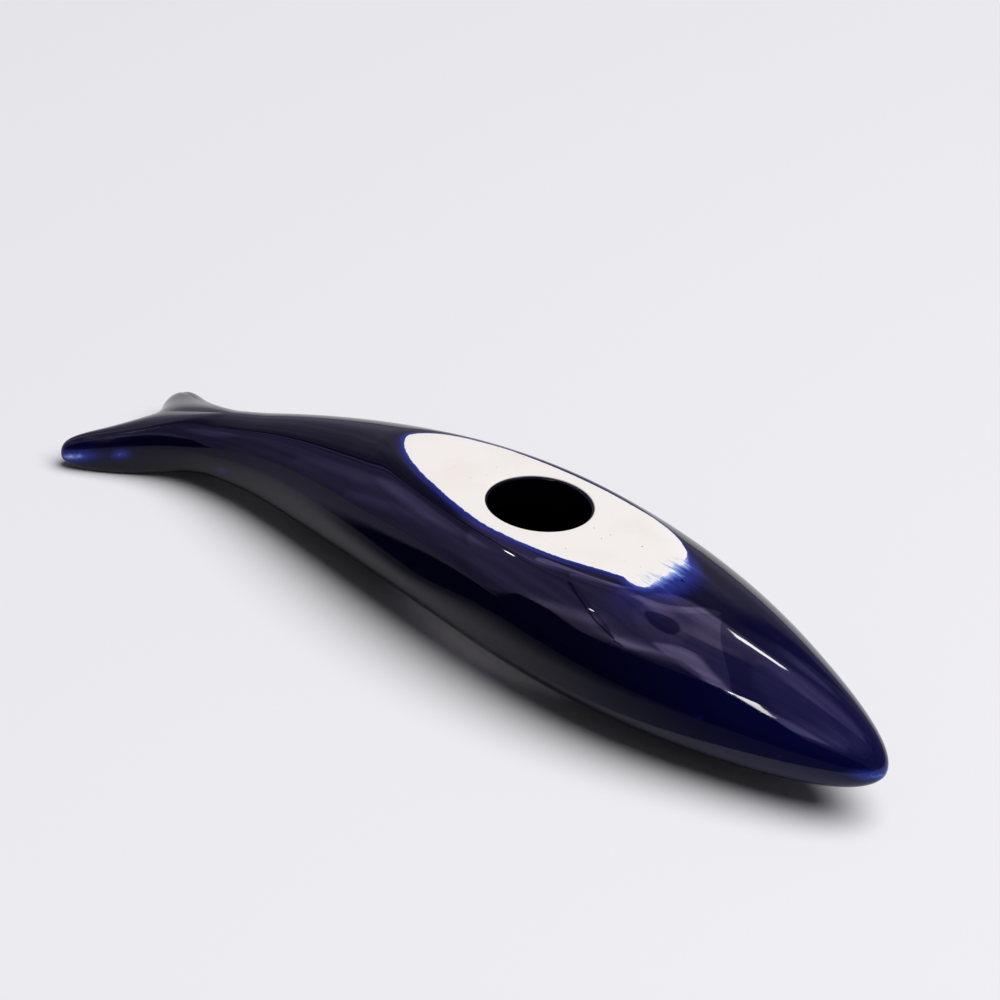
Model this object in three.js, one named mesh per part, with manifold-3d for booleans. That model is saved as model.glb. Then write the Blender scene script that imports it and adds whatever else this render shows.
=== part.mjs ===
// Ceramic sardine figurine: a hollow slip-cast fish under cobalt glaze, inside and out.
// It lies on its domed side, with the flat bare foot patch and the pour hole on top.
// Millimetres, +Z up, nose towards +X. The origin is on the table under the middle of the fish.

import * as THREE from "three";
import { mergeVertices } from "three/addons/utils/BufferGeometryUtils.js";
import Module from "manifold-3d";

// The glazed body, station by station from the nose to the waist in front of the tail.
// behind is the distance back from the nose tip, half is the half width, and the rest are heights above the
// table: top is the foot side before it is flattened, parting is the mould line, under is the domed side.
const NOSE_HEIGHT = 9.7;
const BODY = [
  { behind: 0, half: 0, top: NOSE_HEIGHT, parting: NOSE_HEIGHT, under: NOSE_HEIGHT },
  { behind: 6, half: 5.8, top: 15.4, parting: 10.2, under: 5.1 },
  { behind: 20, half: 11.6, top: 19.9, parting: 11.5, under: 2.2 },
  { behind: 42, half: 17.2, top: 23.8, parting: 13.6, under: 0.5 },
  { behind: 68, half: 17.3, top: 26.3, parting: 14.6, under: 0.2 },
  { behind: 90, half: 14.1, top: 24.5, parting: 13.3, under: 1.5 },
  { behind: 110, half: 9.3, top: 19.7, parting: 11, under: 1.9 },
  { behind: 129, half: 6.4, top: 12.7, parting: 7.9, under: 1.8 },
];
const TAIL_HEIGHTS = [
  { behind: 141, top: 8, parting: 5.1, under: -0.8 },
  { behind: 154, top: 6.6, parting: 1.6, under: -1.2 },
];
const TOP_FULLNESS = 2;
const UNDER_FULLNESS = 2.25;

// The forked tail in plan. Each lobe ends in a rounded tip, and the centre line sways to one side.
const TIP_BEHIND = 149.8;
const TIP_SPREAD = 13.2;
const TIP_ANGLE = 55;
const TIP_ROUND_OUTER = 4.5;
const TIP_ROUND_INNER = 4.3;
const WAIST_SWEEP = 11.8;
const CROTCH_BEHIND = 144;
const CROTCH_ROUND = 4;
const LOBE_SPINE_START = 2.1;
const LOBE_SPINE_END = 4.2;
const LOBE_END_SQUARENESS = 3;
const TAIL_SWAY = -7.7;
const NOSE_SWAY = 0.7;

// The web between the lobes stands higher than the lobes beside it.
const WEB_LIFT = 2.2;
const WEB_HALF_WIDTH = 6.5;
const WEB_START_BEHIND = 122;
const WEB_FULL_BEHIND = 146;

// The foot patch, the pour hole and the layers of the wall.
const FOOT_HEIGHT = 23.5;
const HOLE_BEHIND = 68;
const HOLE_RADIUS = 8.3;
const OUTER_GLAZE = 0.4;
const CLAY_WALL = 4;
const INNER_GLAZE = 0.4;
const LAYER_CLEARANCE = 0.3;
const LINING_BELOW_FOOT = 0.8;

// How finely the skin is divided: rings along each stretch, and faces in each quarter of a ring.
const BODY_RINGS = 28;
const NOSE_CROWDING = 1.7;
const LOBE_RINGS = 10;
const TIP_CROWDING = 1.6;
const HOLLOW_RINGS = 18;
const HOLLOW_SEARCH_STEPS = 1000;
const HOLLOW_END_SQUARENESS = 8;
const QUARTER_FACES = 6;
const HOLE_FACES = 48;

const wasm = await Module();
wasm.setup();
const { Manifold, Mesh: SolidMesh } = wasm;

const QUARTER_TURN = Math.PI / 2;
const WAIST = BODY.at(-1);
const NOSE_X = HOLE_BEHIND;
const HEIGHT_STATIONS = [...BODY, ...TAIL_HEIGHTS];
const FAR_AWAY = 4 * TIP_BEHIND;

// A cubic spline through the values at the knots. It starts free of bending, and ends with the slope given,
// or free of bending too where none is given.
function cubicSpline(knots, values, endSlope = null) {
  const last = knots.length - 1;
  const step = (i) => knots[i + 1] - knots[i];
  const rise = (i) => (values[i + 1] - values[i]) / step(i);
  const ratio = [0];
  const rest = [0];
  for (let i = 1; i < last; i++) {
    const pivot = 2 * (step(i - 1) + step(i)) - step(i - 1) * ratio[i - 1];
    ratio[i] = step(i) / pivot;
    rest[i] = (6 * (rise(i) - rise(i - 1)) - step(i - 1) * rest[i - 1]) / pivot;
  }
  const bend = new Array(last + 1).fill(0);
  if (endSlope !== null) {
    const slack = 6 * (endSlope - rise(last - 1)) - step(last - 1) * rest[last - 1];
    bend[last] = slack / (step(last - 1) * (2 - ratio[last - 1]));
  }
  for (let i = last - 1; i > 0; i--) bend[i] = rest[i] - ratio[i] * bend[i + 1];

  return (at) => {
    let i = 0;
    while (i < last - 1 && at > knots[i + 1]) i++;
    const width = step(i);
    const before = (knots[i + 1] - at) / width;
    const after = (at - knots[i]) / width;
    const curve = (before ** 3 - before) * bend[i] + (after ** 3 - after) * bend[i + 1];
    return before * values[i] + after * values[i + 1] + (curve * width * width) / 6;
  };
}

// Profiles are splined against the square root of the distance behind the nose, which makes the nose round.
function profile(stations, field, endSlope = null) {
  const knots = stations.map((station) => Math.sqrt(station.behind));
  const values = stations.map((station) => station[field]);
  const spline = cubicSpline(knots, values, endSlope);
  return (behind) => spline(Math.sqrt(Math.max(behind, 0)));
}

const halfWidth = profile(BODY, "half", 0);
const topHeight = profile(HEIGHT_STATIONS, "top");
const partingHeight = profile(HEIGHT_STATIONS, "parting");
const underHeight = profile(HEIGHT_STATIONS, "under");

// How far the skin stands above or below the mould line on the centre line.
const UPPER = {
  reach: (behind) => topHeight(behind) - partingHeight(behind),
  fullness: TOP_FULLNESS,
};
const LOWER = {
  reach: (behind) => underHeight(behind) - partingHeight(behind),
  fullness: UNDER_FULLNESS,
};

// The sideways shift of the centre line at a distance behind the hole, or ahead of it where that is negative.
function sway(behindHole) {
  if (behindHole > 0) return TAIL_SWAY * (behindHole / (TIP_BEHIND - HOLE_BEHIND)) ** 2;
  return NOSE_SWAY * (behindHole / HOLE_BEHIND) ** 2;
}

function webLift(behind, offset) {
  const rise = THREE.MathUtils.smoothstep(behind, WEB_START_BEHIND, WEB_FULL_BEHIND);
  return WEB_LIFT * rise * Math.exp(-((offset / WEB_HALF_WIDTH) ** 2));
}

// A point of the fish from its distance behind the nose, its offset from the centre line and its height.
function place(behind, offset, height) {
  const aside = offset + sway(behind - HOLE_BEHIND);
  return new THREE.Vector3(NOSE_X - behind, aside, height + webLift(behind, offset));
}

// One quarter of a skin: rows of points that rise or fall from the outline to the centre line.
// spine(t) and edge(t) are [distance behind the nose, offset] at a share t of the way along, and
// reach(behind, t) is the height over the mould line there.
function quarter(spine, edge, reach, fullness, rows) {
  const power = 2 / fullness;
  return Array.from({ length: rows + 1 }, (_, row) => {
    const t = row / rows;
    const [spineBehind, spineOffset] = spine(t);
    const [edgeBehind, edgeOffset] = edge(t);
    return Array.from({ length: QUARTER_FACES + 1 }, (_, face) => {
      const angle = (QUARTER_TURN * face) / QUARTER_FACES;
      const out = face === QUARTER_FACES ? 0 : Math.cos(angle) ** power;
      const up = Math.sin(angle) ** power;
      const behind = spineBehind + (edgeBehind - spineBehind) * out;
      const offset = spineOffset + (edgeOffset - spineOffset) * out;
      return place(behind, offset, partingHeight(behind) + reach(behind, t) * up);
    });
  });
}

// Joins quarters into one closed skin. A quarter that is turned over lists its faces the other way round.
function skin(quarters) {
  const points = [];
  for (const { rows, turned } of quarters) {
    for (let i = 0; i + 1 < rows.length; i++) {
      for (let j = 0; j + 1 < rows[i].length; j++) {
        const [a, b, c, d] = [rows[i][j], rows[i + 1][j], rows[i + 1][j + 1], rows[i][j + 1]];
        points.push(...(turned ? [a, c, b, a, d, c] : [a, b, c, a, c, d]));
      }
    }
  }
  return withoutSlivers(mergeVertices(new THREE.BufferGeometry().setFromPoints(points)));
}

// Drops the triangles that have closed up into a line at a pole.
function withoutSlivers(geometry) {
  const index = geometry.index.array;
  const kept = [];
  for (let i = 0; i < index.length; i += 3) {
    const [a, b, c] = index.slice(i, i + 3);
    if (a !== b && b !== c && c !== a) kept.push(a, b, c);
  }
  return geometry.setIndex(kept);
}

// The four quarters of a lengthwise skin, from its outline on one side and its upper and lower reach.
function fourQuarters(spine, edge, upperReach, lowerReach, rows) {
  const mirrored = (t) => {
    const [behind, offset] = edge(t);
    return [behind, -offset];
  };
  return [
    { rows: quarter(spine, edge, upperReach, UPPER.fullness, rows), turned: false },
    { rows: quarter(spine, edge, lowerReach, LOWER.fullness, rows), turned: true },
    { rows: quarter(spine, mirrored, upperReach, UPPER.fullness, rows), turned: true },
    { rows: quarter(spine, mirrored, lowerReach, LOWER.fullness, rows), turned: false },
  ];
}

function bodyQuarters() {
  const behind = (t) => WAIST.behind * t ** NOSE_CROWDING;
  const spine = (t) => [behind(t), 0];
  const edge = (t) => [behind(t), halfWidth(behind(t))];
  return fourQuarters(spine, edge, UPPER.reach, LOWER.reach, BODY_RINGS);
}

// A plan curve with its handles given as steps from its two ends.
function planCurve(start, startStep, end, endStep) {
  const from = new THREE.Vector2(...start);
  const to = new THREE.Vector2(...end);
  const leaving = from.clone().add(new THREE.Vector2(...startStep));
  const arriving = to.clone().add(new THREE.Vector2(...endStep));
  return new THREE.CubicBezierCurve(from, leaving, arriving, to);
}

// One lobe of the tail, on the side given as 1 or -1.
function lobeQuarters(side) {
  const angle = THREE.MathUtils.degToRad(TIP_ANGLE);
  const across = [-Math.cos(angle), Math.sin(angle)];
  const inward = [-Math.sin(angle), -Math.cos(angle)];
  const times = (vector, length) => vector.map((value) => value * length);
  const tip = [TIP_BEHIND, TIP_SPREAD];
  const shoulder = [WAIST.behind, WAIST.half];
  const outer = planCurve(shoulder, [WAIST_SWEEP, 0], tip, times(across, TIP_ROUND_OUTER));
  const inner = planCurve([CROTCH_BEHIND, 0], [0, CROTCH_ROUND], tip, times(across, -TIP_ROUND_INNER));
  const spine = planCurve([WAIST.behind, 0], [LOBE_SPINE_START, 0], tip, times(inward, LOBE_SPINE_END));
  const towardsTip = (t) => 1 - (1 - t) ** TIP_CROWDING;
  const along = (curve) => (t) => {
    const point = curve.getPoint(towardsTip(t));
    return [point.x, side * point.y];
  };
  const taper = (t) => Math.sqrt(1 - towardsTip(t) ** LOBE_END_SQUARENESS);
  const reachOf = (dome) => (behind, t) => dome.reach(behind) * taper(t);
  const quarterOf = (curve, dome, turned) => ({
    rows: quarter(along(spine), along(curve), reachOf(dome), dome.fullness, LOBE_RINGS),
    turned: side > 0 ? turned : !turned,
  });
  return [
    quarterOf(outer, UPPER, false),
    quarterOf(outer, LOWER, true),
    quarterOf(inner, UPPER, true),
    quarterOf(inner, LOWER, false),
  ];
}

// The hollow of the casting, inset from the glazed skin. It ends where its walls would meet.
function hollowSkin(inset) {
  const room = (behind) => Math.min(halfWidth(behind), UPPER.reach(behind), -LOWER.reach(behind)) - inset;
  const stepsBack = Array.from({ length: HOLLOW_SEARCH_STEPS }, (_, i) => i / HOLLOW_SEARCH_STEPS);
  const open = stepsBack.map((share) => WAIST.behind * share).filter((behind) => room(behind) > 0);
  const [start, end] = [open[0], open.at(-1)];
  const behindAt = (t) => THREE.MathUtils.lerp(start, end, t);
  const rounding = (t) => Math.sqrt(1 - Math.abs(2 * t - 1) ** HOLLOW_END_SQUARENESS);
  return skin(
    fourQuarters(
      (t) => [behindAt(t), 0],
      (t) => [behindAt(t), (halfWidth(behindAt(t)) - inset) * rounding(t)],
      (behind, t) => (UPPER.reach(behind) - inset) * rounding(t),
      (behind, t) => (LOWER.reach(behind) + inset) * rounding(t),
      HOLLOW_RINGS,
    ),
  );
}

// The skin moved inwards along its own normals.
function insetSkin(geometry, depth) {
  const moved = geometry.clone();
  moved.computeVertexNormals();
  const { position, normal } = moved.attributes;
  const point = new THREE.Vector3();
  const direction = new THREE.Vector3();
  for (let i = 0; i < position.count; i++) {
    point.fromBufferAttribute(position, i);
    direction.fromBufferAttribute(normal, i);
    point.addScaledVector(direction, -depth);
    position.setXYZ(i, point.x, point.y, point.z);
  }
  moved.deleteAttribute("normal");
  return moved;
}

function solidOf(geometry) {
  const bare = geometry.clone();
  bare.deleteAttribute("normal");
  bare.deleteAttribute("uv");
  const merged = mergeVertices(bare);
  return new Manifold(
    new SolidMesh({
      numProp: 3,
      vertProperties: new Float32Array(merged.attributes.position.array),
      triVerts: new Uint32Array(merged.index.array),
    }),
  );
}

// Everything below a height.
function below(height) {
  const block = new THREE.BoxGeometry(FAR_AWAY, FAR_AWAY, FAR_AWAY);
  return solidOf(block.translate(0, 0, height - FAR_AWAY / 2));
}

// The round way from inside the hollow out through the foot.
function throat(radius) {
  const bottom = FOOT_HEIGHT / 2;
  const length = FOOT_HEIGHT - bottom + CLAY_WALL;
  const centre = place(HOLE_BEHIND, 0, bottom + length / 2);
  const cylinder = new THREE.CylinderGeometry(radius, radius, length, HOLE_FACES).rotateX(QUARTER_TURN);
  return solidOf(cylinder.translate(centre.x, centre.y, centre.z));
}

// The hollow with its roof under the foot, and its throat, at a depth in from the clay's inner face.
function insideAt(depth) {
  const room = solidOf(hollowSkin(OUTER_GLAZE + LAYER_CLEARANCE + CLAY_WALL + depth));
  return room.intersect(below(FOOT_HEIGHT - CLAY_WALL - depth)).add(throat(HOLE_RADIUS - depth));
}

function namedMesh(name, solid, material) {
  const { vertProperties, triVerts } = solid.getMesh();
  const geometry = new THREE.BufferGeometry()
    .setAttribute("position", new THREE.BufferAttribute(vertProperties, 3))
    .setIndex(new THREE.BufferAttribute(triVerts, 1));
  geometry.computeVertexNormals();
  const mesh = new THREE.Mesh(geometry, material);
  mesh.name = name;
  return mesh;
}

const fishSkin = skin([...bodyQuarters(), ...lobeQuarters(1), ...lobeQuarters(-1)]);

function outerGlaze() {
  const inside = solidOf(insetSkin(fishSkin, OUTER_GLAZE));
  const coat = solidOf(fishSkin).subtract(inside).intersect(below(FOOT_HEIGHT));
  const cobalt = new THREE.MeshStandardMaterial({ color: 0x080a30, roughness: 0.06, metalness: 0 });
  return namedMesh("outer_glaze", coat, cobalt);
}

function clayBody() {
  const casting = solidOf(insetSkin(fishSkin, OUTER_GLAZE + LAYER_CLEARANCE));
  const clay = casting.intersect(below(FOOT_HEIGHT)).subtract(insideAt(0));
  const bisque = new THREE.MeshStandardMaterial({ color: 0xf3eee9, roughness: 0.85, metalness: 0 });
  return namedMesh("clay_body", clay, bisque);
}

function innerGlaze() {
  const lining = insideAt(LAYER_CLEARANCE)
    .subtract(insideAt(LAYER_CLEARANCE + INNER_GLAZE))
    .intersect(below(FOOT_HEIGHT - LINING_BELOW_FOOT));
  const navy = new THREE.MeshStandardMaterial({ color: 0x05061c, roughness: 0.15, metalness: 0 });
  return namedMesh("inner_glaze", lining, navy);
}

const figurine = new THREE.Group();
figurine.add(clayBody(), outerGlaze(), innerGlaze());

const size = new THREE.Box3().setFromObject(figurine);
const middle = size.getCenter(new THREE.Vector3());
figurine.position.set(-middle.x, -middle.y, -size.min.z);

export default figurine;
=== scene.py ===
"""The looks of a ceramic sardine figurine: its bare clay, its cobalt glaze inside and out, and the studio.

Sizes are in millimetres, as they are in the part's source, and become metres when a mesh is made. The fish
lies on its domed side with its nose towards +X, so its bare foot and its pour hole face up.
"""

import logging
import math
from dataclasses import dataclass
from enum import Enum
from typing import Callable

import bmesh
import bpy
import numpy as np
from mathutils import Matrix, Vector


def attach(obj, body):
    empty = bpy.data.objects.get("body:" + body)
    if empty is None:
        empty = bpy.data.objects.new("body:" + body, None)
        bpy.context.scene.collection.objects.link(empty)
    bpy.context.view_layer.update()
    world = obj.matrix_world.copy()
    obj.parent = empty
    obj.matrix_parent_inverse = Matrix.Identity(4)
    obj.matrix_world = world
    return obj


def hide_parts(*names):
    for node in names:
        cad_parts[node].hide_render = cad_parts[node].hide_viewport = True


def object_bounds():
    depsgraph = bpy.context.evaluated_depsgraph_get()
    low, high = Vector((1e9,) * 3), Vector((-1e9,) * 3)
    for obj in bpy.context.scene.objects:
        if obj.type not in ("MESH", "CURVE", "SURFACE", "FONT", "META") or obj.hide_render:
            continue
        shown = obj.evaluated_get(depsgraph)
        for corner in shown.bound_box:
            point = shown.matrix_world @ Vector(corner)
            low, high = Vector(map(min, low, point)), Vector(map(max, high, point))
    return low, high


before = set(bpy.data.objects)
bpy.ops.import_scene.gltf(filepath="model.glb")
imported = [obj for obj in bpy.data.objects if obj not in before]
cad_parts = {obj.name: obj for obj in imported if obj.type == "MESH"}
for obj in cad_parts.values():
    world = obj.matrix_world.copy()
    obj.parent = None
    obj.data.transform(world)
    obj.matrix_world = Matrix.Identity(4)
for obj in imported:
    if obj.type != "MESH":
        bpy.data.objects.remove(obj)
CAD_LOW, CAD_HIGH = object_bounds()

LOG = logging.getLogger("sardine")
MM = 0.001
QUARTER_TURN = math.pi / 2
TINY = 1e-9
NOISE_MIDDLE = 0.5

Numbers = np.ndarray
Pair = tuple[float, float]
Counts = tuple[int, ...]
Colour = tuple[float, ...]
Corners = tuple[tuple[float, ...], ...]
Piece = bpy.types.Object
Mesh = bpy.types.Mesh
Material = bpy.types.Material
Node = bpy.types.Node
Socket = bpy.types.NodeSocket


class Side(Enum):
    """The two sides of the fish, as seen from its centre line."""

    LEFT = 1
    RIGHT = -1


class Dome(Enum):
    """The two halves of the fish, above and below its parting line, each with its own fullness."""

    FOOT = 2.0
    FACE = 2.25

    def out(self, angle: Numbers) -> Numbers:
        """How far out a section is at an angle from its parting line, as a share of its half width."""
        return np.where(angle >= QUARTER_TURN - TINY, 0, np.cos(angle) ** (2 / self.value))

    def rise(self, angle: Numbers) -> Numbers:
        """How far a section stands from its parting line at an angle, as a share of its reach."""
        return np.sin(angle) ** (2 / self.value)

    def shares(self, columns: Counts, crowding: float = 1.5) -> Numbers:
        """How far round a quarter each column of points lies, from 0 to 1.

        Args:
            columns: how many faces an upper and a lower quarter have.
            crowding: how strongly the upper columns crowd towards the foot.

        Returns:
            One share for each column.
        """
        upper, lower = columns
        if self is Dome.FOOT:
            return 1 - (1 - np.linspace(0, 1, upper + 1)) ** crowding
        return np.linspace(0, 1, lower + 1)


@dataclass(frozen=True)
class Station:
    """One cross-section of the fish.

    Args:
        behind: distance back from the nose tip.
        top: height of the foot side on the centre line, before it is flattened.
        parting: height of the mould line.
        under: height of the domed side on the centre line.
        half: half width, where the section belongs to the body.
    """

    behind: float
    top: float
    parting: float
    under: float
    half: float = 0


class Spline:
    """A cubic spline through values at knots, which starts free of bending."""

    def __init__(self, knots: Numbers, values: Numbers, end_slope: float | None = None) -> None:
        """Works out how much the spline bends at each knot.

        Args:
            knots: where the values are given, rising.
            values: the value at each knot.
            end_slope: the slope at the last knot, or None to end free of bending.
        """
        count = len(knots)
        step = np.diff(knots)
        rise = np.diff(values) / step
        pull = np.zeros((count, count))
        load = np.zeros(count)
        pull[0, 0] = 1
        for i in range(1, count - 1):
            pull[i, i - 1 : i + 2] = step[i - 1], 2 * (step[i - 1] + step[i]), step[i]
            load[i] = 6 * (rise[i] - rise[i - 1])
        if end_slope is None:
            pull[-1, -1] = 1
        else:
            pull[-1, -2:] = step[-1], 2 * step[-1]
            load[-1] = 6 * (end_slope - rise[-1])
        self.knots, self.values = knots, values
        self.bend = np.linalg.solve(pull, load)

    def __call__(self, at: Numbers) -> Numbers:
        """The spline's value.

        Args:
            at: where it is wanted.

        Returns:
            One value for each place.
        """
        i = np.clip(np.searchsorted(self.knots, at) - 1, 0, len(self.knots) - 2)
        width = self.knots[i + 1] - self.knots[i]
        before = (self.knots[i + 1] - at) / width
        after = (at - self.knots[i]) / width
        curve = (before**3 - before) * self.bend[i] + (after**3 - after) * self.bend[i + 1]
        return before * self.values[i] + after * self.values[i + 1] + curve * width**2 / 6


def smoothstep(value: Numbers, low: float, high: float) -> Numbers:
    """Shares that ease from 0, where a value is low, to 1, where it is high."""
    share = np.clip((value - low) / (high - low), 0, 1)
    return share * share * (3 - 2 * share)


def rounded_under(height: Numbers, ceiling: Numbers | float, blend: float) -> Numbers:
    """Heights kept under a ceiling, with an edge that is rounded by a blend above and below it."""
    share = np.clip(0.5 + 0.5 * (ceiling - height) / blend, 0, 1)
    return ceiling + (height - ceiling) * share - blend * share * (1 - share)


def plan_curve(start: Pair, start_step: Pair, end: Pair, end_step: Pair, shares: Numbers) -> Numbers:
    """Points along a cubic curve in plan.

    Args:
        start: where it starts.
        start_step: the step from the start to its handle.
        end: where it ends.
        end_step: the step from the end to its handle.
        shares: how far along each point is, from 0 to 1.

    Returns:
        One plan point for each share.
    """
    t = shares[:, None]
    leaving = np.add(start, start_step)
    arriving = np.add(end, end_step)
    near = (1 - t) ** 3 * np.asarray(start) + 3 * (1 - t) ** 2 * t * leaving
    return near + 3 * (1 - t) * t**2 * arriving + t**3 * np.asarray(end)


@dataclass
class FishForm:
    """The glazed fish's outer form, as the part's source gives it."""

    body: tuple[Station, ...] = (
        Station(0, 9.7, 9.7, 9.7, 0),
        Station(6, 15.4, 10.2, 5.1, 5.8),
        Station(20, 19.9, 11.5, 2.2, 11.6),
        Station(42, 23.8, 13.6, 0.5, 17.2),
        Station(68, 26.3, 14.6, 0.2, 17.3),
        Station(90, 24.5, 13.3, 1.5, 14.1),
        Station(110, 19.7, 11, 1.9, 9.3),
        Station(129, 12.7, 7.9, 1.8, 6.4),
    )
    tail: tuple[Station, ...] = (Station(141, 8, 5.1, -0.8), Station(154, 6.6, 1.6, -1.2))
    tip_behind: float = 149.8
    tip_spread: float = 13.2
    tip_angle: float = math.radians(55)
    tip_round_outer: float = 4.5
    tip_round_inner: float = 4.3
    waist_sweep: float = 11.8
    crotch_behind: float = 144
    crotch_round: float = 4
    lobe_spine_start: float = 2.1
    lobe_spine_end: float = 4.2
    lobe_squareness: float = 3
    tail_sway: float = -7.7
    nose_sway: float = 0.7
    web_lift: float = 2.2
    web_half_width: float = 6.5
    web_start: float = 122
    web_full: float = 146
    foot_height: float = 23.5
    foot_rounding: float = 0.6
    hole_behind: float = 68
    hole_radius: float = 8.3

    def __post_init__(self) -> None:
        """Lays the splines through the stations."""
        stations = self.body + self.tail
        knots = np.sqrt([station.behind for station in stations])
        self._half = Spline(knots[: len(self.body)], np.array([s.half for s in self.body]), end_slope=0)
        heights = np.array([(s.top, s.parting, s.under) for s in stations]).T
        self._top, self._parting, self._under = (Spline(knots, values) for values in heights)

    @property
    def waist(self) -> Station:
        """The last section of the body, where the tail starts."""
        return self.body[-1]

    def half(self, behind: Numbers) -> Numbers:
        """The half width at a distance behind the nose."""
        return self._half(np.sqrt(np.maximum(behind, 0)))

    def parting(self, behind: Numbers) -> Numbers:
        """The height of the mould line at a distance behind the nose."""
        return self._parting(np.sqrt(np.maximum(behind, 0)))

    def reach(self, dome: Dome, behind: Numbers) -> Numbers:
        """How far a half of the fish stands above its parting line, or below it as a negative number."""
        crown = self._top if dome is Dome.FOOT else self._under
        return crown(np.sqrt(np.maximum(behind, 0))) - self.parting(behind)

    def sway(self, behind: Numbers) -> Numbers:
        """The sideways shift of the centre line.

        Args:
            behind: distance behind the nose.

        Returns:
            One shift for each distance.
        """
        back = (behind - self.hole_behind) / (self.tip_behind - self.hole_behind)
        ahead = (behind - self.hole_behind) / self.hole_behind
        return np.where(back > 0, self.tail_sway * back**2, self.nose_sway * ahead**2)

    def place(self, behind: Numbers, offset: Numbers, height: Numbers) -> Numbers:
        """Points of the fish.

        Args:
            behind: distance behind the nose.
            offset: distance from the centre line.
            height: height above the table, without the lift of the web.

        Returns:
            Points in the fish's own frame, whose X and Y are 0 at the middle of the pour hole.
        """
        rise = smoothstep(behind, self.web_start, self.web_full)
        lift = self.web_lift * rise * np.exp(-((offset / self.web_half_width) ** 2))
        return np.stack([self.hole_behind - behind, offset + self.sway(behind), height + lift], axis=-1)

    def unplace(self, points: Numbers) -> tuple[Numbers, Numbers]:
        """The distance behind the nose and the offset from the centre line of points of the fish."""
        behind = self.hole_behind - points[..., 0]
        return behind, points[..., 1] - self.sway(behind)

    def over_foot(self, plan: Numbers) -> Numbers:
        """Plan points raised to the foot side, flattened.

        Args:
            plan: the points in plan.

        Returns:
            The raised points.
        """
        behind, offset = self.unplace(plan)
        share = np.clip(np.abs(offset) / self.half(behind), 0, 1)
        crown = self.parting(behind) + self.reach(Dome.FOOT, behind) * np.sqrt(1 - share**2)
        return level(plan, rounded_under(crown, self.foot_height, self.foot_rounding))


def level(plan: Numbers, height: Numbers | float) -> Numbers:
    """Plan points raised to a height."""
    return np.concatenate([plan, np.broadcast_to(height, plan.shape[:-1])[..., None]], axis=-1)


def crowd_ends(count: int, power: float) -> Numbers:
    """Shares from 0 to 1 in a number of steps, which lie closer together towards both ends."""
    t = np.linspace(0, 1, count + 1)
    return np.where(t < 0.5, 0.5 * (2 * t) ** power, 1 - 0.5 * (2 * (1 - t)) ** power)


class Draft:
    """Points and faces gathered from grids, in millimetres, with shared points merged."""

    GRAIN = 1e-4

    def __init__(self) -> None:
        """Starts with nothing."""
        self.points: list[Numbers] = []
        self.faces: list[Numbers] = []
        self.count = 0

    def grid(self, points: Numbers, turned: bool = False) -> None:
        """Adds a grid of four-sided faces.

        Args:
            points: rows of columns of points.
            turned: whether its faces are listed the other way round.
        """
        rows, columns = points.shape[:2]
        index = np.arange(rows * columns).reshape(rows, columns) + self.count
        corners = [index[:-1, :-1], index[1:, :-1], index[1:, 1:], index[:-1, 1:]]
        faces = np.stack(corners, axis=-1).reshape(-1, 4)
        self.add(points.reshape(-1, 3), faces[:, ::-1] if turned else faces)

    def ring(self, points: Numbers, turned: bool = False) -> None:
        """Adds a grid whose last column meets its first."""
        self.grid(np.concatenate([points, points[:, :1]], axis=1), turned)

    def add(self, points: Numbers, faces: Numbers) -> None:
        """Adds points and faces.

        Args:
            points: the points.
            faces: faces that count from this draft's present number of points.
        """
        self.points.append(points)
        self.faces.append(faces)
        self.count += len(points)

    def merged(self) -> tuple[Numbers, Numbers]:
        """Merges points that lie together.

        Returns:
            The points, each once, and the faces that join them.
        """
        points = np.concatenate(self.points)
        cells = np.round(points / self.GRAIN).astype(np.int64)
        _, first, back = np.unique(cells, axis=0, return_index=True, return_inverse=True)
        return points[first], back.reshape(-1)[np.concatenate(self.faces)]


def point_normals(points: Numbers, faces: Numbers) -> Numbers:
    """The outward direction at each point of a skin.

    Args:
        points: the skin's points.
        faces: its four-sided faces, listed so that they face outwards.

    Returns:
        One unit vector for each point.
    """
    corners = points[faces]
    spread = np.cross(corners[:, 2] - corners[:, 0], corners[:, 3] - corners[:, 1])
    total = np.zeros_like(points)
    for corner in range(4):
        np.add.at(total, faces[:, corner], spread)
    return total / np.maximum(np.linalg.norm(total, axis=1, keepdims=True), TINY**2)


def open_edges(faces: Numbers) -> Numbers:
    """The edges that only one face uses, in the order that face lists them.

    Args:
        faces: four-sided faces, some of which may repeat a point.

    Returns:
        Pairs of point numbers.
    """
    edges = np.concatenate([faces[:, [i, (i + 1) % 4]] for i in range(4)])
    edges = edges[edges[:, 0] != edges[:, 1]]
    span = faces.max() + 1
    forward = edges[:, 0] * span + edges[:, 1]
    backward = edges[:, 1] * span + edges[:, 0]
    return edges[~np.isin(forward, backward)]


def ring_distance(points: Numbers, ring: Numbers, signed: bool = False, chunk: int = 4000) -> Numbers:
    """How far points are from a closed ring of straight stretches.

    Args:
        points: the points, in plan or in space as the ring is.
        ring: its corners, once round.
        signed: whether the distance is negative inside it, in plan.
        chunk: how many points are measured at a time.

    Returns:
        One distance for each point.
    """
    along = np.roll(ring, -1, axis=0) - ring
    square = np.maximum((along**2).sum(axis=1), TINY**2)
    found = []
    for part in np.array_split(points, math.ceil(len(points) / chunk)):
        away = part[:, None] - ring
        share = np.clip((away * along).sum(axis=-1) / square, 0, 1)
        reach = np.linalg.norm(away - share[..., None] * along, axis=-1).min(axis=1)
        if signed:
            over = away[..., 1] < 0
            crossing = over != np.roll(over, -1, axis=1)
            rise = np.where(crossing, along[:, 1], 1)
            right = ring[:, 0] + (part[:, 1:] - ring[:, 1]) / rise * along[:, 0] > part[:, :1]
            inside = (crossing & right).sum(axis=1) % 2 == 1
            reach = np.where(inside, -reach, reach)
        found.append(reach)
    return np.concatenate(found)


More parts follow.
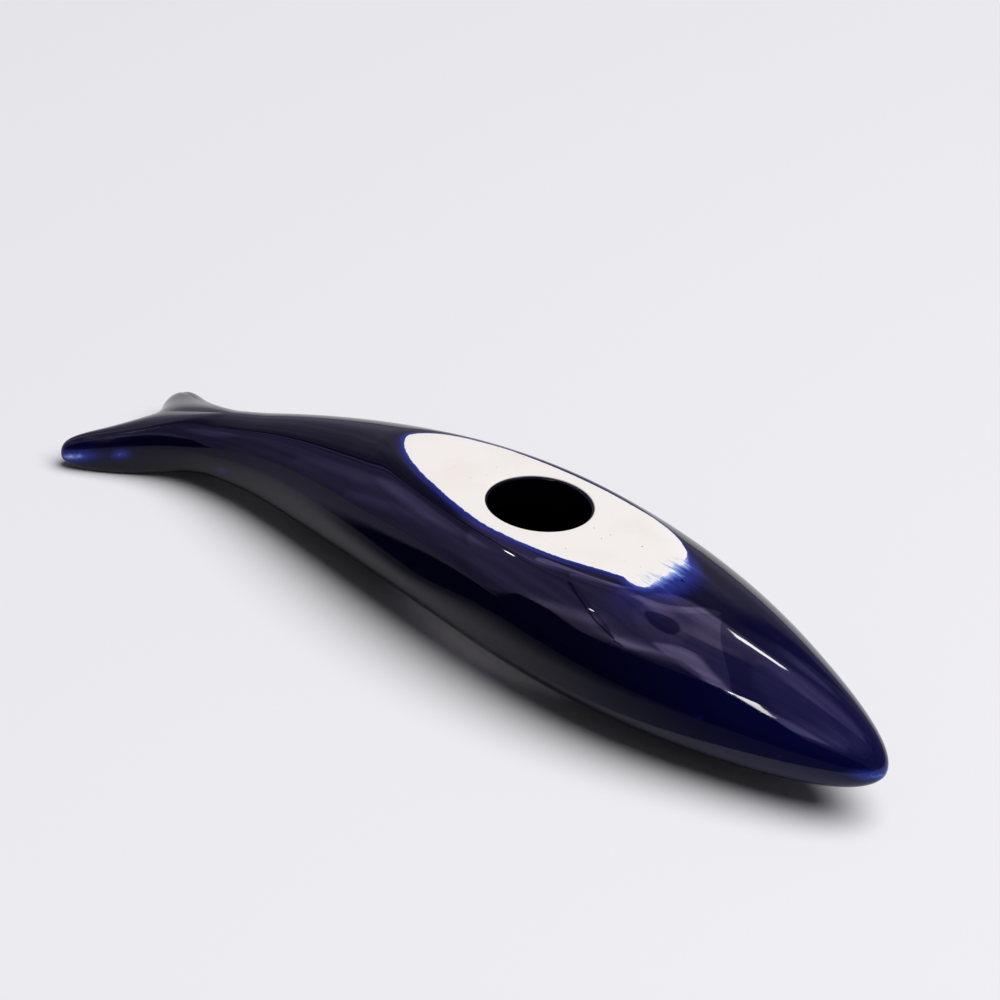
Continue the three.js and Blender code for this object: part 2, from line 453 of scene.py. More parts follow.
def hole_angles(outline: Numbers) -> Numbers:
    """The angle of each point of an outline about the middle of the pour hole."""
    return np.unwrap(np.arctan2(outline[:, 1], outline[:, 0]))


def hole_points(radius: Numbers | float, angle: Numbers, height: Numbers) -> Numbers:
    """Points about the axis of the pour hole, one for each radius, angle and height."""
    return np.stack(np.broadcast_arrays(radius * np.cos(angle), radius * np.sin(angle), height), axis=-1)


def hole_lip(angles: Numbers, radius: float, height: float, size: float, rows: int) -> Numbers:
    """Rows of points of a rounded edge about the pour hole, from its top down to its inside."""
    bend = np.linspace(0, QUARTER_TURN, rows + 1)[:, None]
    return hole_points(radius - size * np.sin(bend), angles, height + size * np.cos(bend))


def plan_annulus(outline: Numbers, radius: float, rows: int) -> Numbers:
    """Plan points between an outline and a circle about the middle of the pour hole.

    Args:
        outline: points round the outline.
        radius: the circle's radius.
        rows: how many rows of faces lie between them.

    Returns:
        Rows of plan points, from the outline to the circle.
    """
    circle = hole_points(radius, hole_angles(outline), 0)[:, :2]
    shares = np.linspace(0, 1, rows + 1)[:, None, None]
    return outline[:, :2] * (1 - shares) + circle * shares


@dataclass
class LengthwiseSkin:
    """A skin along the fish, whose top is cut off level so that it has an open edge there.

    Args:
        form: the fish that the skin follows.
        shape: what gives its half width and its reach.
        span: where it starts and ends behind the nose.
        cut: the height at which its top is cut off.
        rings: how many rings lie before, along and after the cut.
        columns: how many columns an upper and a lower quarter have.
        edge_rounding: how far above and below the cut its edge is rounded.
    """

    form: FishForm
    shape: "FishForm | Cavity"
    span: Pair
    cut: float
    rings: Counts
    columns: Counts
    edge_rounding: float = 0
    ring_crowding: float = 1.5
    nose_crowding: float = 1.7
    search_steps: int = 20000

    def __post_init__(self) -> None:
        """Finds the stretch that the cut opens and lays out the rings."""
        start, end = self.span
        behind = np.linspace(start, end, self.search_steps)
        open_stretch = behind[self.form.parting(behind) + self.shape.reach(Dome.FOOT, behind) > self.cut]
        opens, closes = open_stretch[0], open_stretch[-1]
        before, along, after = self.rings
        ahead = start + (opens - start) * np.linspace(0, 1, before + 1) ** self.nose_crowding
        cut = opens + (closes - opens) * crowd_ends(along, self.ring_crowding)
        rest = closes + (end - closes) * np.linspace(0, 1, after + 1)
        self.behind = np.concatenate([ahead[:-1], cut, rest[1:]])
        self.cut_rings = slice(before, before + along + 1)

    def top_angles(self) -> Numbers:
        """The angle round each ring at which its top is cut off.

        Returns:
            One angle for each ring, a quarter turn where it is whole.
        """
        reach = self.shape.reach(Dome.FOOT, self.behind)
        room = self.cut - self.form.parting(self.behind)
        share = np.where(reach > room, room / np.maximum(reach, TINY), 1)
        return np.arcsin(np.clip(share, 0, 1))

    def quarter(self, side: Side, dome: Dome) -> Numbers:
        """One quarter of the skin, from its parting line to its top or bottom.

        Args:
            side: which side of the centre line.
            dome: the upper or the lower half.

        Returns:
            Rows of points, one row for each ring.
        """
        last = self.top_angles() if dome is Dome.FOOT else np.full(len(self.behind), QUARTER_TURN)
        angle = last[:, None] * dome.shares(self.columns)
        behind = np.broadcast_to(self.behind[:, None], angle.shape)
        offset = side.value * self.shape.half(behind) * dome.out(angle)
        height = self.form.parting(behind) + self.shape.reach(dome, behind) * dome.rise(angle)
        if self.edge_rounding > 0:
            height = rounded_under(height, self.cut, self.edge_rounding)
        return self.form.place(behind, offset, height)

    def cut_outline(self) -> Numbers:
        """The open edge's points, once round, from the end that lies towards the nose."""
        left, right = (self.quarter(side, Dome.FOOT)[self.cut_rings, -1] for side in Side)
        return np.concatenate([left, right[-2:0:-1]])

    def draw(self, draft: Draft, inward: bool = False) -> None:
        """Adds the four quarters to a draft.

        Args:
            draft: where they go.
            inward: whether the faces look into the skin.
        """
        for side in Side:
            for dome in Dome:
                turned = (side is Side.LEFT) == (dome is Dome.FACE)
                draft.grid(self.quarter(side, dome), turned != inward)


@dataclass
class TailLobes:
    """The two lobes of the forked tail, drawn from the waist to their tips."""

    form: FishForm
    columns: Counts
    rows: int
    tip_crowding: float = 1.6

    def quarter(self, side: Side, dome: Dome, outer: bool) -> Numbers:
        """One quarter of a lobe, between its spine and its outer or inner edge.

        Args:
            side: which lobe.
            dome: its upper or lower half.
            outer: whether it is the half towards the lobe's outer edge.

        Returns:
            Rows of points from the waist to the tip.
        """
        form = self.form
        waist = form.waist
        shares = 1 - (1 - np.linspace(0, 1, self.rows + 1)) ** self.tip_crowding
        across = np.array([-math.cos(form.tip_angle), math.sin(form.tip_angle)])
        inward = np.array([-math.sin(form.tip_angle), -math.cos(form.tip_angle)])
        tip = (form.tip_behind, form.tip_spread)
        if outer:
            shoulder = (waist.behind, waist.half)
            edge = plan_curve(shoulder, (form.waist_sweep, 0), tip, across * form.tip_round_outer, shares)
        else:
            crotch = (form.crotch_behind, 0)
            edge = plan_curve(crotch, (0, form.crotch_round), tip, -across * form.tip_round_inner, shares)
        middle = (waist.behind, 0)
        spine = plan_curve(middle, (form.lobe_spine_start, 0), tip, inward * form.lobe_spine_end, shares)
        angle = QUARTER_TURN * dome.shares(self.columns)
        plan = spine[:, None] + (edge - spine)[:, None] * dome.out(angle)[:, None]
        behind, offset = plan[..., 0], side.value * plan[..., 1]
        taper = np.sqrt(np.maximum(1 - shares**form.lobe_squareness, 0))[:, None]
        height = form.parting(behind) + form.reach(dome, behind) * taper * dome.rise(angle)
        return form.place(behind, offset, height)

    def draw(self, draft: Draft) -> None:
        """Adds both lobes to a draft.

        Args:
            draft: where they go.
        """
        for side in Side:
            for dome in Dome:
                for outer in (True, False):
                    turned = (side is Side.LEFT) == (dome is Dome.FACE)
                    draft.grid(self.quarter(side, dome, outer), turned == outer)


@dataclass
class Cavity:
    """A skin of the hollow inside the casting: the hollow itself, its roof under the foot and its throat.

    Args:
        form: the fish that it lies in.
        inset: how far in from the glazed skin it lies.
        roof: the height of its flat roof.
        throat: the radius of its throat.
        throat_top: the height at which the throat ends.
        angles: the angles of the points round the throat's top.
    """

    form: FishForm
    inset: float
    roof: float
    throat: float
    throat_top: float
    angles: Numbers
    end_squareness: float = 8
    rings: Counts = (16, 160, 20)
    columns: Counts = (9, 9)
    roof_rows: int = 10
    throat_rows: int = 8
    search_steps: int = 4000

    def __post_init__(self) -> None:
        """Finds the stretch in which the hollow has room."""
        form = self.form
        behind = np.linspace(0, form.waist.behind, self.search_steps)
        walls = [form.half(behind), form.reach(Dome.FOOT, behind), -form.reach(Dome.FACE, behind)]
        roomy = behind[np.min(walls, axis=0) > self.inset]
        self.span = (roomy[0], roomy[-1])

    def rounding(self, behind: Numbers) -> Numbers:
        """The share of its full section that the hollow keeps towards its two ends.

        Args:
            behind: distance behind the nose.

        Returns:
            One share for each distance.
        """
        start, end = self.span
        t = (behind - start) / (end - start)
        return np.sqrt(np.maximum(1 - np.abs(2 * t - 1) ** self.end_squareness, 0))

    def half(self, behind: Numbers) -> Numbers:
        """The hollow's half width."""
        return (self.form.half(behind) - self.inset) * self.rounding(behind)

    def reach(self, dome: Dome, behind: Numbers) -> Numbers:
        """The hollow's reach above or below the parting line."""
        inset = self.inset if dome is Dome.FOOT else -self.inset
        return (self.form.reach(dome, behind) - inset) * self.rounding(behind)

    def draw(self, draft: Draft, inward: bool) -> None:
        """Adds the whole skin to a draft.

        Args:
            draft: where it goes.
            inward: whether the faces look into the hollow.
        """
        skin = LengthwiseSkin(self.form, self, self.span, self.roof, self.rings, self.columns)
        skin.draw(draft, inward)
        outline = skin.cut_outline()
        draft.ring(level(plan_annulus(outline, self.throat, self.roof_rows), self.roof), inward)
        rise = np.linspace(0, 1, self.throat_rows + 1)[:, None]
        turn = hole_angles(outline) * (1 - rise) + self.angles * rise
        height = self.roof + (self.throat_top - self.roof) * rise
        draft.ring(hole_points(self.throat, turn, height), inward)


class Wiring:
    """Adds and joins the nodes of one node tree."""

    def __init__(self, tree: bpy.types.NodeTree) -> None:
        """Works in a tree."""
        self.tree = tree

    def add(self, kind: str, values: dict | None = None, **settings: object) -> Node:
        """Adds a node.

        Args:
            kind: the node's type name.
            values: plain values or sockets for its inputs, by name or by number.
            settings: values for the node's own properties.

        Returns:
            The node.
        """
        node = self.tree.nodes.new(kind)
        for name, value in settings.items():
            setattr(node, name, value)
        self.fill(node, values or {})
        return node

    def fill(self, node: Node, values: dict) -> None:
        """Joins a node's inputs to other nodes' sockets, or sets them.

        Args:
            node: the node.
            values: plain values or sockets, by name or by number.
        """
        for name, value in values.items():
            if isinstance(value, Socket):
                self.tree.links.new(value, node.inputs[name])
            else:
                node.inputs[name].default_value = value

    def math(self, operation: str, *values: object, clamp: bool = False) -> Socket:
        """A sum on numbers, kept between 0 and 1 where it is clamped."""
        node = self.add("ShaderNodeMath", dict(enumerate(values)), operation=operation, use_clamp=clamp)
        return node.outputs[0]

    def vector(self, operation: str, *values: object) -> Socket:
        """A sum on vectors.

        Args:
            operation: the sum's name.
            values: vectors or sockets, with the scale last where it has one.

        Returns:
            The result's socket.
        """
        names = (0, "Scale") if operation == "SCALE" else (0, 1)
        node = self.add("ShaderNodeVectorMath", dict(zip(names, values)), operation=operation)
        return node.outputs["Value" if operation == "DOT_PRODUCT" else "Vector"]

    def ease(self, value: object, low: object, high: object, start: object = 0, end: object = 1) -> Socket:
        """A value that eases from start, where the input is low, to end, where it is high."""
        values = dict(enumerate((value, low, high, start, end)))
        return self.add("ShaderNodeMapRange", values, interpolation_type="SMOOTHSTEP").outputs[0]

    def noise(self, place: object, scale: float, detail: float = 2, roughness: float = 0.5) -> Socket:
        """A cloudy value about NOISE_MIDDLE, read at a place, with finer layers on its clouds."""
        values = {"Vector": place, "Scale": scale, "Detail": detail, "Roughness": roughness}
        return self.add("ShaderNodeTexNoise", values).outputs[0]

    def blend(self, share: object, first: object, second: object) -> Socket:
        """A colour between two colours."""
        return self.add("ShaderNodeMix", {0: share, 6: first, 7: second}, data_type="RGBA").outputs[2]

    def mix(self, share: object, first: object, second: object) -> Socket:
        """A number between two numbers."""
        return self.add("ShaderNodeMix", {0: share, 2: first, 3: second}, data_type="FLOAT").outputs[0]

    def ramp(self, value: object, stops: dict[float, Colour]) -> Socket:
        """A colour that follows a value through stops.

        Args:
            value: a number from 0 to 1.
            stops: each stop's colour, by its place.

        Returns:
            The colour's socket.
        """
        node = self.add("ShaderNodeValToRGB", {0: value})
        elements = node.color_ramp.elements
        while len(elements) < len(stops):
            elements.new(1)
        for element, (place, colour) in zip(elements, stops.items()):
            element.position = place
            element.color = (*colour, 1)
        return node.outputs[0]

    def bump(self, height: Socket, distance: float) -> Socket:
        """The normal of a fine relief, whose height from 0 to 1 stands for a distance in metres."""
        return self.add("ShaderNodeBump", {"Height": height, "Distance": distance}).outputs[0]

    def attribute(self, name: str) -> Socket:
        """A number that is stored on the mesh, in a material."""
        return self.add("ShaderNodeAttribute", attribute_name=name).outputs["Fac"]

    def position(self) -> Socket:
        """The place on the piece, in a material."""
        return self.add("ShaderNodeTexCoord").outputs["Object"]


class Tree:
    """A node group with named inputs and outputs."""

    def __init__(self, name: str, kind: str, inputs: dict[str, str], outputs: dict[str, str]) -> None:
        """Makes the group.

        Args:
            name: its name.
            kind: the type of tree.
            inputs: the names of its inputs with spaces between them, by the kind of their sockets.
            outputs: the names of its outputs, in the same way.
        """
        self.group = bpy.data.node_groups.new(name, kind)
        for way, sockets in (("INPUT", inputs), ("OUTPUT", outputs)):
            for socket_kind, titles in sockets.items():
                full_kind = "NodeSocket" + socket_kind
                for title in titles.split():
                    self.group.interface.new_socket(title, in_out=way, socket_type=full_kind)
        self.wiring = Wiring(self.group)
        self.given = self.wiring.add("NodeGroupInput").outputs
        self.results = self.wiring.add("NodeGroupOutput")


class MeshTree(Tree):
    """A geometry tree, which takes a mesh, a material and sizes, and gives real faces in that material."""

    def __init__(self, name: str, sizes: dict[str, str]) -> None:
        """Makes the tree, with the names of its sizes given as Tree's inputs are."""
        mesh = {"Geometry": "Geometry"}
        super().__init__(name, "GeometryNodeTree", mesh | sizes | {"Material": "Material"}, mesh)

    def finish(self, geometry: Socket) -> None:
        """Ends the tree: its instances become real and take the tree's material.

        Args:
            geometry: what the tree has made.
        """
        realize = self.wiring.add("GeometryNodeRealizeInstances", {0: geometry})
        values = {"Geometry": realize.outputs[0], "Material": self.given["Material"]}
        dress = self.wiring.add("GeometryNodeSetMaterial", values)
        self.wiring.fill(self.results, {0: dress.outputs[0]})

    def bake(self, piece: Piece, **values: object) -> None:
        """Runs the tree on a piece and keeps the result as its plain mesh.

        Args:
            piece: the piece.
            values: the tree's inputs by name.
        """
        inputs = [item for item in self.group.interface.items_tree if item.in_out == "INPUT"]
        identifiers = {item.name: item.identifier for item in inputs}
        modifier = piece.modifiers.new(self.group.name, "NODES")
        modifier.node_group = self.group
        for title, value in values.items():
            modifier[identifiers[title]] = value
        depsgraph = bpy.context.evaluated_depsgraph_get()
        evaluated = piece.evaluated_get(depsgraph)
        mesh = bpy.data.meshes.new_from_object(evaluated, preserve_all_data_layers=True, depsgraph=depsgraph)
        piece.modifiers.remove(modifier)
        mesh.name = piece.name
        piece.data = mesh


def relief_tree(detail: float = 0.5) -> MeshTree:
    """A tree that moves a skin gently in and out, as a hand-finished casting under fired glaze is.

    The skin has a vector attribute called outward, whose length is the share of the relief that it takes.

    Args:
        detail: how many finer waves lie on its waves.

    Returns:
        The tree.
    """
    tree = MeshTree("casting_relief", {"Float": "Wavelength Height Seed"})
    wiring, given = tree.wiring, tree.given
    values = {
        "Vector": wiring.add("GeometryNodeInputPosition").outputs[0],
        "W": given["Seed"],
        "Scale": wiring.math("DIVIDE", 1.0, given["Wavelength"]),
        "Detail": detail,
    }
    noise = wiring.add("ShaderNodeTexNoise", values, noise_dimensions="4D")
    swell = wiring.math("SUBTRACT", noise.outputs[0], NOISE_MIDDLE)
    rise = wiring.math("MULTIPLY", swell, given["Height"])
    outward = wiring.add("GeometryNodeInputNamedAttribute", {"Name": "outward"}, data_type="FLOAT_VECTOR")
    move = wiring.vector("SCALE", outward.outputs["Attribute"], rise)
    moved = wiring.add("GeometryNodeSetPosition", {"Geometry": given["Geometry"], "Offset": move})
    tree.finish(moved.outputs[0])
    return tree


def speck_tree(divisions: int = 2) -> MeshTree:
    """A tree that scatters sunken grains over the faces of a mesh, which it leaves out itself.

    Args:
        divisions: how often the faces of a grain are divided.

    Returns:
        The tree.
    """
    tree = MeshTree("scattered_specks", {"Float": "Density Smallest Largest Flatness", "Int": "Seed"})
    wiring, given = tree.wiring, tree.given
    ground = {"Mesh": given["Geometry"], "Density": given["Density"], "Seed": given["Seed"]}
    scatter = wiring.add("GeometryNodeDistributePointsOnFaces", ground)
    grain = wiring.add("GeometryNodeMeshIcoSphere", {"Radius": 1.0, "Subdivisions": divisions})
    sizes = {2: given["Smallest"], 3: given["Largest"], "Seed": given["Seed"]}
    size = wiring.add("FunctionNodeRandomValue", sizes, data_type="FLOAT").outputs[1]
    depth = wiring.math("MULTIPLY", size, given["Flatness"])
    flat = wiring.add("ShaderNodeCombineXYZ", {0: size, 1: size, 2: depth})
    values = {"Points": scatter.outputs["Points"], "Instance": grain.outputs[0], "Scale": flat.outputs[0]}
    tree.finish(wiring.add("GeometryNodeInstanceOnPoints", values).outputs[0])
    return tree


# The glaze's colour at each share of its full thickness
TONES = {
    0.0: (0.58, 0.66, 0.86),
    0.10: (0.30, 0.40, 0.72),
    0.20: (0.085, 0.15, 0.47),
    0.32: (0.017, 0.030, 0.24),
    0.56: (0.0085, 0.013, 0.13),
    0.80: (0.0018, 0.0021, 0.040),
    1.0: (0.0010, 0.0008, 0.0085),
}


@dataclass(frozen=True)
class WipedEdge:
    """How the glaze thins out to bare clay along its wiped edge and on the mould line.

    Lengths are in millimetres. The group's Edge input is the distance from the edge, negative on bare clay.
    """

    crisp_start: float = 0.22
    crisp_width: float = 1.8
    crisp_share: float = 0.42
    crisp_jitter: float = 0.35
    smeared_width: float = 7
    smear_jitter: float = 4.2
    blotch_jitter: float = 2.6
    streak_turn: float = math.radians(-24)
    streak_scale: Colour = (0.22, 2.2, 0.5)
    streak_detail: float = 4
    streak_roughness: float = 0.65
    fine_scale: float = 1.6
    fine_detail: float = 3
    blotch_scale: float = 0.3
    thinnest_cover: float = 0.07
    veil_reach: float = 4.5
    veil_cover: float = 0.07
    veil_streaks: Pair = (-0.02, 0.12)
    wear_jitter: float = 0.4

    def group(self) -> bpy.types.NodeTree:
        """Builds the shader group.

        Returns:
            The group, which gives the colour and how thick the glaze is from 0 to 1.
        """
        inputs = {"Vector": "Position", "Float": "Edge Smear Thin", "Color": "Clay"}
        tree = Tree("wiped_edge", "ShaderNodeTree", inputs, {"Color": "Color", "Float": "Cover"})
        wiring, given = tree.wiring, tree.given
        place = wiring.vector("SCALE", given["Position"], 1 / MM)
        values = {"Vector": place, "Rotation": (0, 0, self.streak_turn), "Scale": self.streak_scale}
        turned = wiring.add("ShaderNodeMapping", values).outputs[0]
        clouds = (
            wiring.noise(turned, 1, self.streak_detail, self.streak_roughness),
            wiring.noise(place, self.blotch_scale),
            wiring.noise(place, self.fine_scale, self.fine_detail),
        )
        streak, blotch, fine = (wiring.math("SUBTRACT", cloud, NOISE_MIDDLE) for cloud in clouds)
        crisp = wiring.math("ADD", given["Edge"], wiring.math("MULTIPLY", fine, self.crisp_jitter))
        body = wiring.ease(crisp, self.crisp_start, self.crisp_width, 0, 1 - self.crisp_share)
        crisp_cover = wiring.math("ADD", wiring.ease(crisp, 0, self.crisp_start, 0, self.crisp_share), body)
        pulled = wiring.math("MULTIPLY_ADD", streak, self.smear_jitter, given["Edge"])
        pulled = wiring.math("MULTIPLY_ADD", blotch, self.blotch_jitter, pulled)
        smeared_cover = wiring.math("DIVIDE", pulled, self.smeared_width, clamp=True)
        reach = wiring.ease(given["Edge"], -self.veil_reach, 0, 0, self.veil_cover)
        veil = wiring.math("MULTIPLY", reach, wiring.ease(streak, *self.veil_streaks))
        cover = wiring.mix(given["Smear"], crisp_cover, wiring.math("MAXIMUM", smeared_cover, veil))
        patchy = wiring.math("MULTIPLY_ADD", fine, self.wear_jitter, 1.0)
        kept = wiring.math("SUBTRACT", 1.0, wiring.math("MULTIPLY", given["Thin"], patchy))
        cover = wiring.math("MULTIPLY", cover, kept, clamp=True)
        soaked = wiring.ease(cover, 0, self.thinnest_cover)
        colour = wiring.blend(soaked, given["Clay"], wiring.ramp(cover, TONES))
        wiring.fill(tree.results, {"Color": colour, "Cover": cover})
        return tree.group


@dataclass(frozen=True)
class Finish:
    """What every finish shares: a material with its shader, and where its patterns are read."""

    name: str
    specular: float = 0.2

    def start(self) -> tuple[Material, Wiring, Node, Socket]:
        """Makes the material.

        Returns:
            The material, its wiring, its shader and the position on the piece.
        """
        material = bpy.data.materials.new(self.name)
        material.use_nodes = True
        wiring = Wiring(material.node_tree)
        shader = material.node_tree.nodes["Principled BSDF"]
        wiring.fill(shader, {"Specular IOR Level": self.specular})
        return material, wiring, shader, wiring.position()

    @staticmethod
    def wiped(wiring: Wiring, group: bpy.types.NodeTree, position: Socket, clay: object) -> list[Socket]:
        """Adds the wiped edge, fed from the values that are stored on the piece.

        Args:
            wiring: the material's wiring.
            group: the wiped edge's group.
            position: the position on the piece.
            clay: the colour of the bare clay.

        Returns:
            The sockets of the colour and of how thick the glaze is.
        """
        values = {name.title(): wiring.attribute(name) for name in ("edge", "smear", "thin")}
        values.update(Position=position, Clay=clay)
        return list(wiring.add("ShaderNodeGroup", values, node_tree=group).outputs)


@dataclass(frozen=True)
class BisqueFinish(Finish):
    """Bare fired clay, wiped and rubbed flat, with stain where the glaze was drawn over it."""

    pale: Colour = (0.90, 0.86, 0.83, 1)
    warm: Colour = (0.87, 0.80, 0.755, 1)
    cloud_scale: float = 90
    cloud_detail: float = 3
    cloud_range: Pair = (0.45, 0.8)
    gloss_range: Pair = (0.05, 0.35)
    roughness: Pair = (0.88, 0.05)
    grain_scale: float = 2600
    grain_detail: float = 4
    grain_roughness: float = 0.7
    grain_cover: float = 0.3
    grain_height: float = 0.00003

    def material(self, wipe: bpy.types.NodeTree) -> Material:
        """Builds the material.

        Args:
            wipe: the wiped edge's group.

        Returns:
            The material.
        """
        material, wiring, shader, position = self.start()
        clouds = wiring.noise(position, self.cloud_scale, self.cloud_detail)
        clouds = wiring.ease(clouds, *self.cloud_range)
        colour, cover = self.wiped(wiring, wipe, position, wiring.blend(clouds, self.pale, self.warm))
        bare = wiring.ease(cover, 0, self.grain_cover, 1, 0)
        grain = wiring.noise(position, self.grain_scale, self.grain_detail, self.grain_roughness)
        grain = wiring.math("MULTIPLY", grain, bare)
        roughness = wiring.ease(cover, *self.gloss_range, *self.roughness)
        normal = wiring.bump(grain, self.grain_height)
        wiring.fill(shader, {"Base Color": colour, "Roughness": roughness, "Normal": normal})
        return material


@dataclass(frozen=True)
class GlazeFinish(Finish):
    """Thick glossy cobalt glaze, almost black where deep and bright blue where thin, with painted
    reflections where its coat weight follows the pools.
    """

    clay: Colour = (0.90, 0.86, 0.83, 1)
    thin_cover: float = 0.25
    roughness: Pair = (0.5, 0.035)
    tail_roughness: float = 0.17
    ripple_scale: float = 420
    ripple_detail: float = 1
    ripple_height: float = 0.000006

    def material(self, wipe: bpy.types.NodeTree) -> Material:
        """Builds the material.

        Args:
            wipe: the wiped edge's group.

        Returns:
            The material.
        """
        material, wiring, shader, position = self.start()
        colour, cover = self.wiped(wiring, wipe, position, self.clay)
        roughness = wiring.ease(cover, 0, self.thin_cover, *self.roughness)
        ripple = wiring.noise(position, self.ripple_scale, self.ripple_detail)
        # Painted reflections: the coat weight follows the pools' outlines, so the glaze mirrors the room
        # more strongly there, or not at all
        painted_reflection: object = 0.0
        for pool in POOLS:
            share = wiring.ease(wiring.attribute(pool.name), -pool.softness, pool.softness, 1, 0)
            painted_reflection = wiring.mix(share, painted_reflection, pool.share)
        values = {
            "Base Color": colour,
            "Roughness": wiring.mix(wiring.attribute("dull"), roughness, self.tail_roughness),
            "Coat Weight": painted_reflection,
            "Normal": wiring.bump(ripple, self.ripple_height),
        }
        wiring.fill(shader, values)
        return material


@dataclass(frozen=True, kw_only=True)
class MottledFinish(Finish):
    """A finish that drifts between two colours and two roughnesses.

    Args:
        colours: the two colours.
        scale: how many clouds there are in a metre.
        detail: how many finer layers lie on them.
        drift: where in a cloud the roughness changes.
        roughness: the two roughnesses.
    """

    colours: tuple[Colour, Colour]
    scale: float
    detail: float
    drift: Pair
    roughness: Pair

    def material(self) -> Material:
        """Builds the material.

        Returns:
            The material.
        """
        material, wiring, shader, position = self.start()
        mottle = wiring.noise(position, self.scale, self.detail)
        roughness = wiring.ease(mottle, *self.drift, *self.roughness)
        wiring.fill(shader, {"Base Color": wiring.blend(mottle, *self.colours), "Roughness": roughness})
        return material


# The dark glaze that was swilled round the hollow
SWILLED_GLAZE = MottledFinish(
    name="lining_glaze",
    colours=((0.0004, 0.0004, 0.0008, 1), (0.0006, 0.0006, 0.004, 1)),
    scale=300,
    detail=3,
    drift=(0.3, 0.8),
    roughness=(0.12, 0.25),
)

# Iron specks and pinholes in the bare clay
IRON_SPECKS = MottledFinish(
    name="iron_specks",
    specular=0.5,
    colours=((0.10, 0.075, 0.06, 1), (0.34, 0.27, 0.22, 1)),
    scale=1500,
    detail=2,
    drift=(0.2, 0.8),
    roughness=(0.7, 0.95),
)


def glazed_skin(form: FishForm, rings: Counts, columns: Counts, lobe_rows: int) -> tuple[Numbers, ...]:
    """The plain skin from the nose to the tips of the tail, open at the foot.

    Args:
        form: the fish.
        rings: how many rings of the body lie before, along and after the foot.
        columns: how many columns an upper and a lower quarter have.
        lobe_rows: how many rows of faces each lobe of the tail has.

    Returns:
        The open edge's points, the skin's points and its faces.
    """
    span = (0, form.waist.behind)
    body = LengthwiseSkin(form, form, span, form.foot_height, rings, columns, form.foot_rounding)
    draft = Draft()
    body.draw(draft)
    TailLobes(form, columns, lobe_rows).draw(draft)
    return body.cut_outline(), *draft.merged()


class Workshop:
    """Holds the plain skin of the fish, and turns points and faces into pieces in the frame."""

    RINGS = (70, 160, 70)
    COLUMNS = (30, 26)
    LOBE_ROWS = 44
    SHARP = math.radians(50)

    def __init__(self, form: FishForm) -> None:
        """Draws the fish and sets it into the frame.

        Args:
            form: the fish.
        """
        self.form = form
        self.edge, self.points, self.faces = glazed_skin(form, self.RINGS, self.COLUMNS, self.LOBE_ROWS)
        self.angles = hole_angles(self.edge)
        low, high = self.points.min(axis=0), self.points.max(axis=0)
        cad_low, cad_high = (np.array(corner) / MM for corner in (CAD_LOW, CAD_HIGH))
        self.origin = (cad_low + cad_high - low - high) / 2
        self.origin[2] = cad_low[2] - low[2]

    def piece(self, name: str, points: Numbers, faces: Numbers, values: dict[str, Numbers]) -> Piece:
        """Makes a piece.

        Args:
            name: its name.
            points: its points in millimetres.
            faces: its four-sided faces, some of which may repeat a point.
            values: numbers or vectors to store on its points, by name.

        Returns:
            The piece.
        """
        mesh = bpy.data.meshes.new(name)
        listed = [list(dict.fromkeys(face)) for face in faces.tolist()]
        listed = [face for face in listed if len(face) > 2]
        mesh.from_pydata(((points + self.origin) * MM).tolist(), [], listed)
        for title, numbers in values.items():
            kind, field = ("FLOAT_VECTOR", "vector") if numbers.ndim == 2 else ("FLOAT", "value")
            layer = mesh.attributes.new(title, kind, "POINT")
            layer.data.foreach_set(field, numbers.astype(np.float32).reshape(-1))
        mesh.validate()
        piece = bpy.data.objects.new(name, mesh)
        bpy.context.scene.collection.objects.link(piece)
        return piece

    def settle(self, piece: Piece, node: str, slot: str) -> Piece:
        """Shades a piece smoothly and puts it in the place of a node.

        Args:
            piece: the piece.
            node: the node that it replaces.
            slot: the node's material slot; not used.

        Returns:
            The same piece.
        """
        piece.data.shade_smooth()
        piece.data.set_sharp_from_angle(angle=self.SHARP)
        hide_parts(node)
        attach(piece, "root")
        return piece


@dataclass
class PlanOutline:
    """A rounded closed outline on the fish, seen from above the foot.

    Args:
        form: the fish.
        corners: distances behind the nose and offsets from the centre line, once round.
        steps_between: how many points the curve has for each corner.
    """

    form: FishForm
    corners: Corners
    steps_between: int = 8

    def distance(self, points: Numbers) -> Numbers:
        """How far points are outside the outline in plan.

        Args:
            points: the points.

        Returns:
            One distance for each point, negative inside the outline.
        """
        behind, offset = np.array(self.corners).T
        corner = np.stack([self.form.hole_behind - behind, offset + self.form.sway(behind)], axis=-1)
        before, after, last = (np.roll(corner, shift, axis=0) for shift in (1, -1, -2))
        t = np.linspace(0, 1, self.steps_between, endpoint=False)[None, :, None]
        slope_in = (after - before)[:, None] / 2
        slope_out = (last - corner)[:, None] / 2
        start, end = corner[:, None], after[:, None]
        curve = (2 * t**3 - 3 * t**2 + 1) * start + (t**3 - 2 * t**2 + t) * slope_in
        curve = curve + (3 * t**2 - 2 * t**3) * end + (t**3 - t**2) * slope_out
        return ring_distance(points[:, :2], curve.reshape(-1, 2), signed=True)


@dataclass(frozen=True)
class PaintedReflectionPool:
    """A painted reflection: a place where the glaze's coat weight is painted, so that it mirrors the room
    more strongly there, or not at all.

    Args:
        name: what it is, which also names the distances that are stored on the coat.
        softness: how softly it ends.
        share: how strongly the painted reflection's coat shows, up to 1.
        corners: its outline, as distances behind the nose and offsets from the centre line.
    """

    name: str
    softness: float
    share: float
    corners: Corners
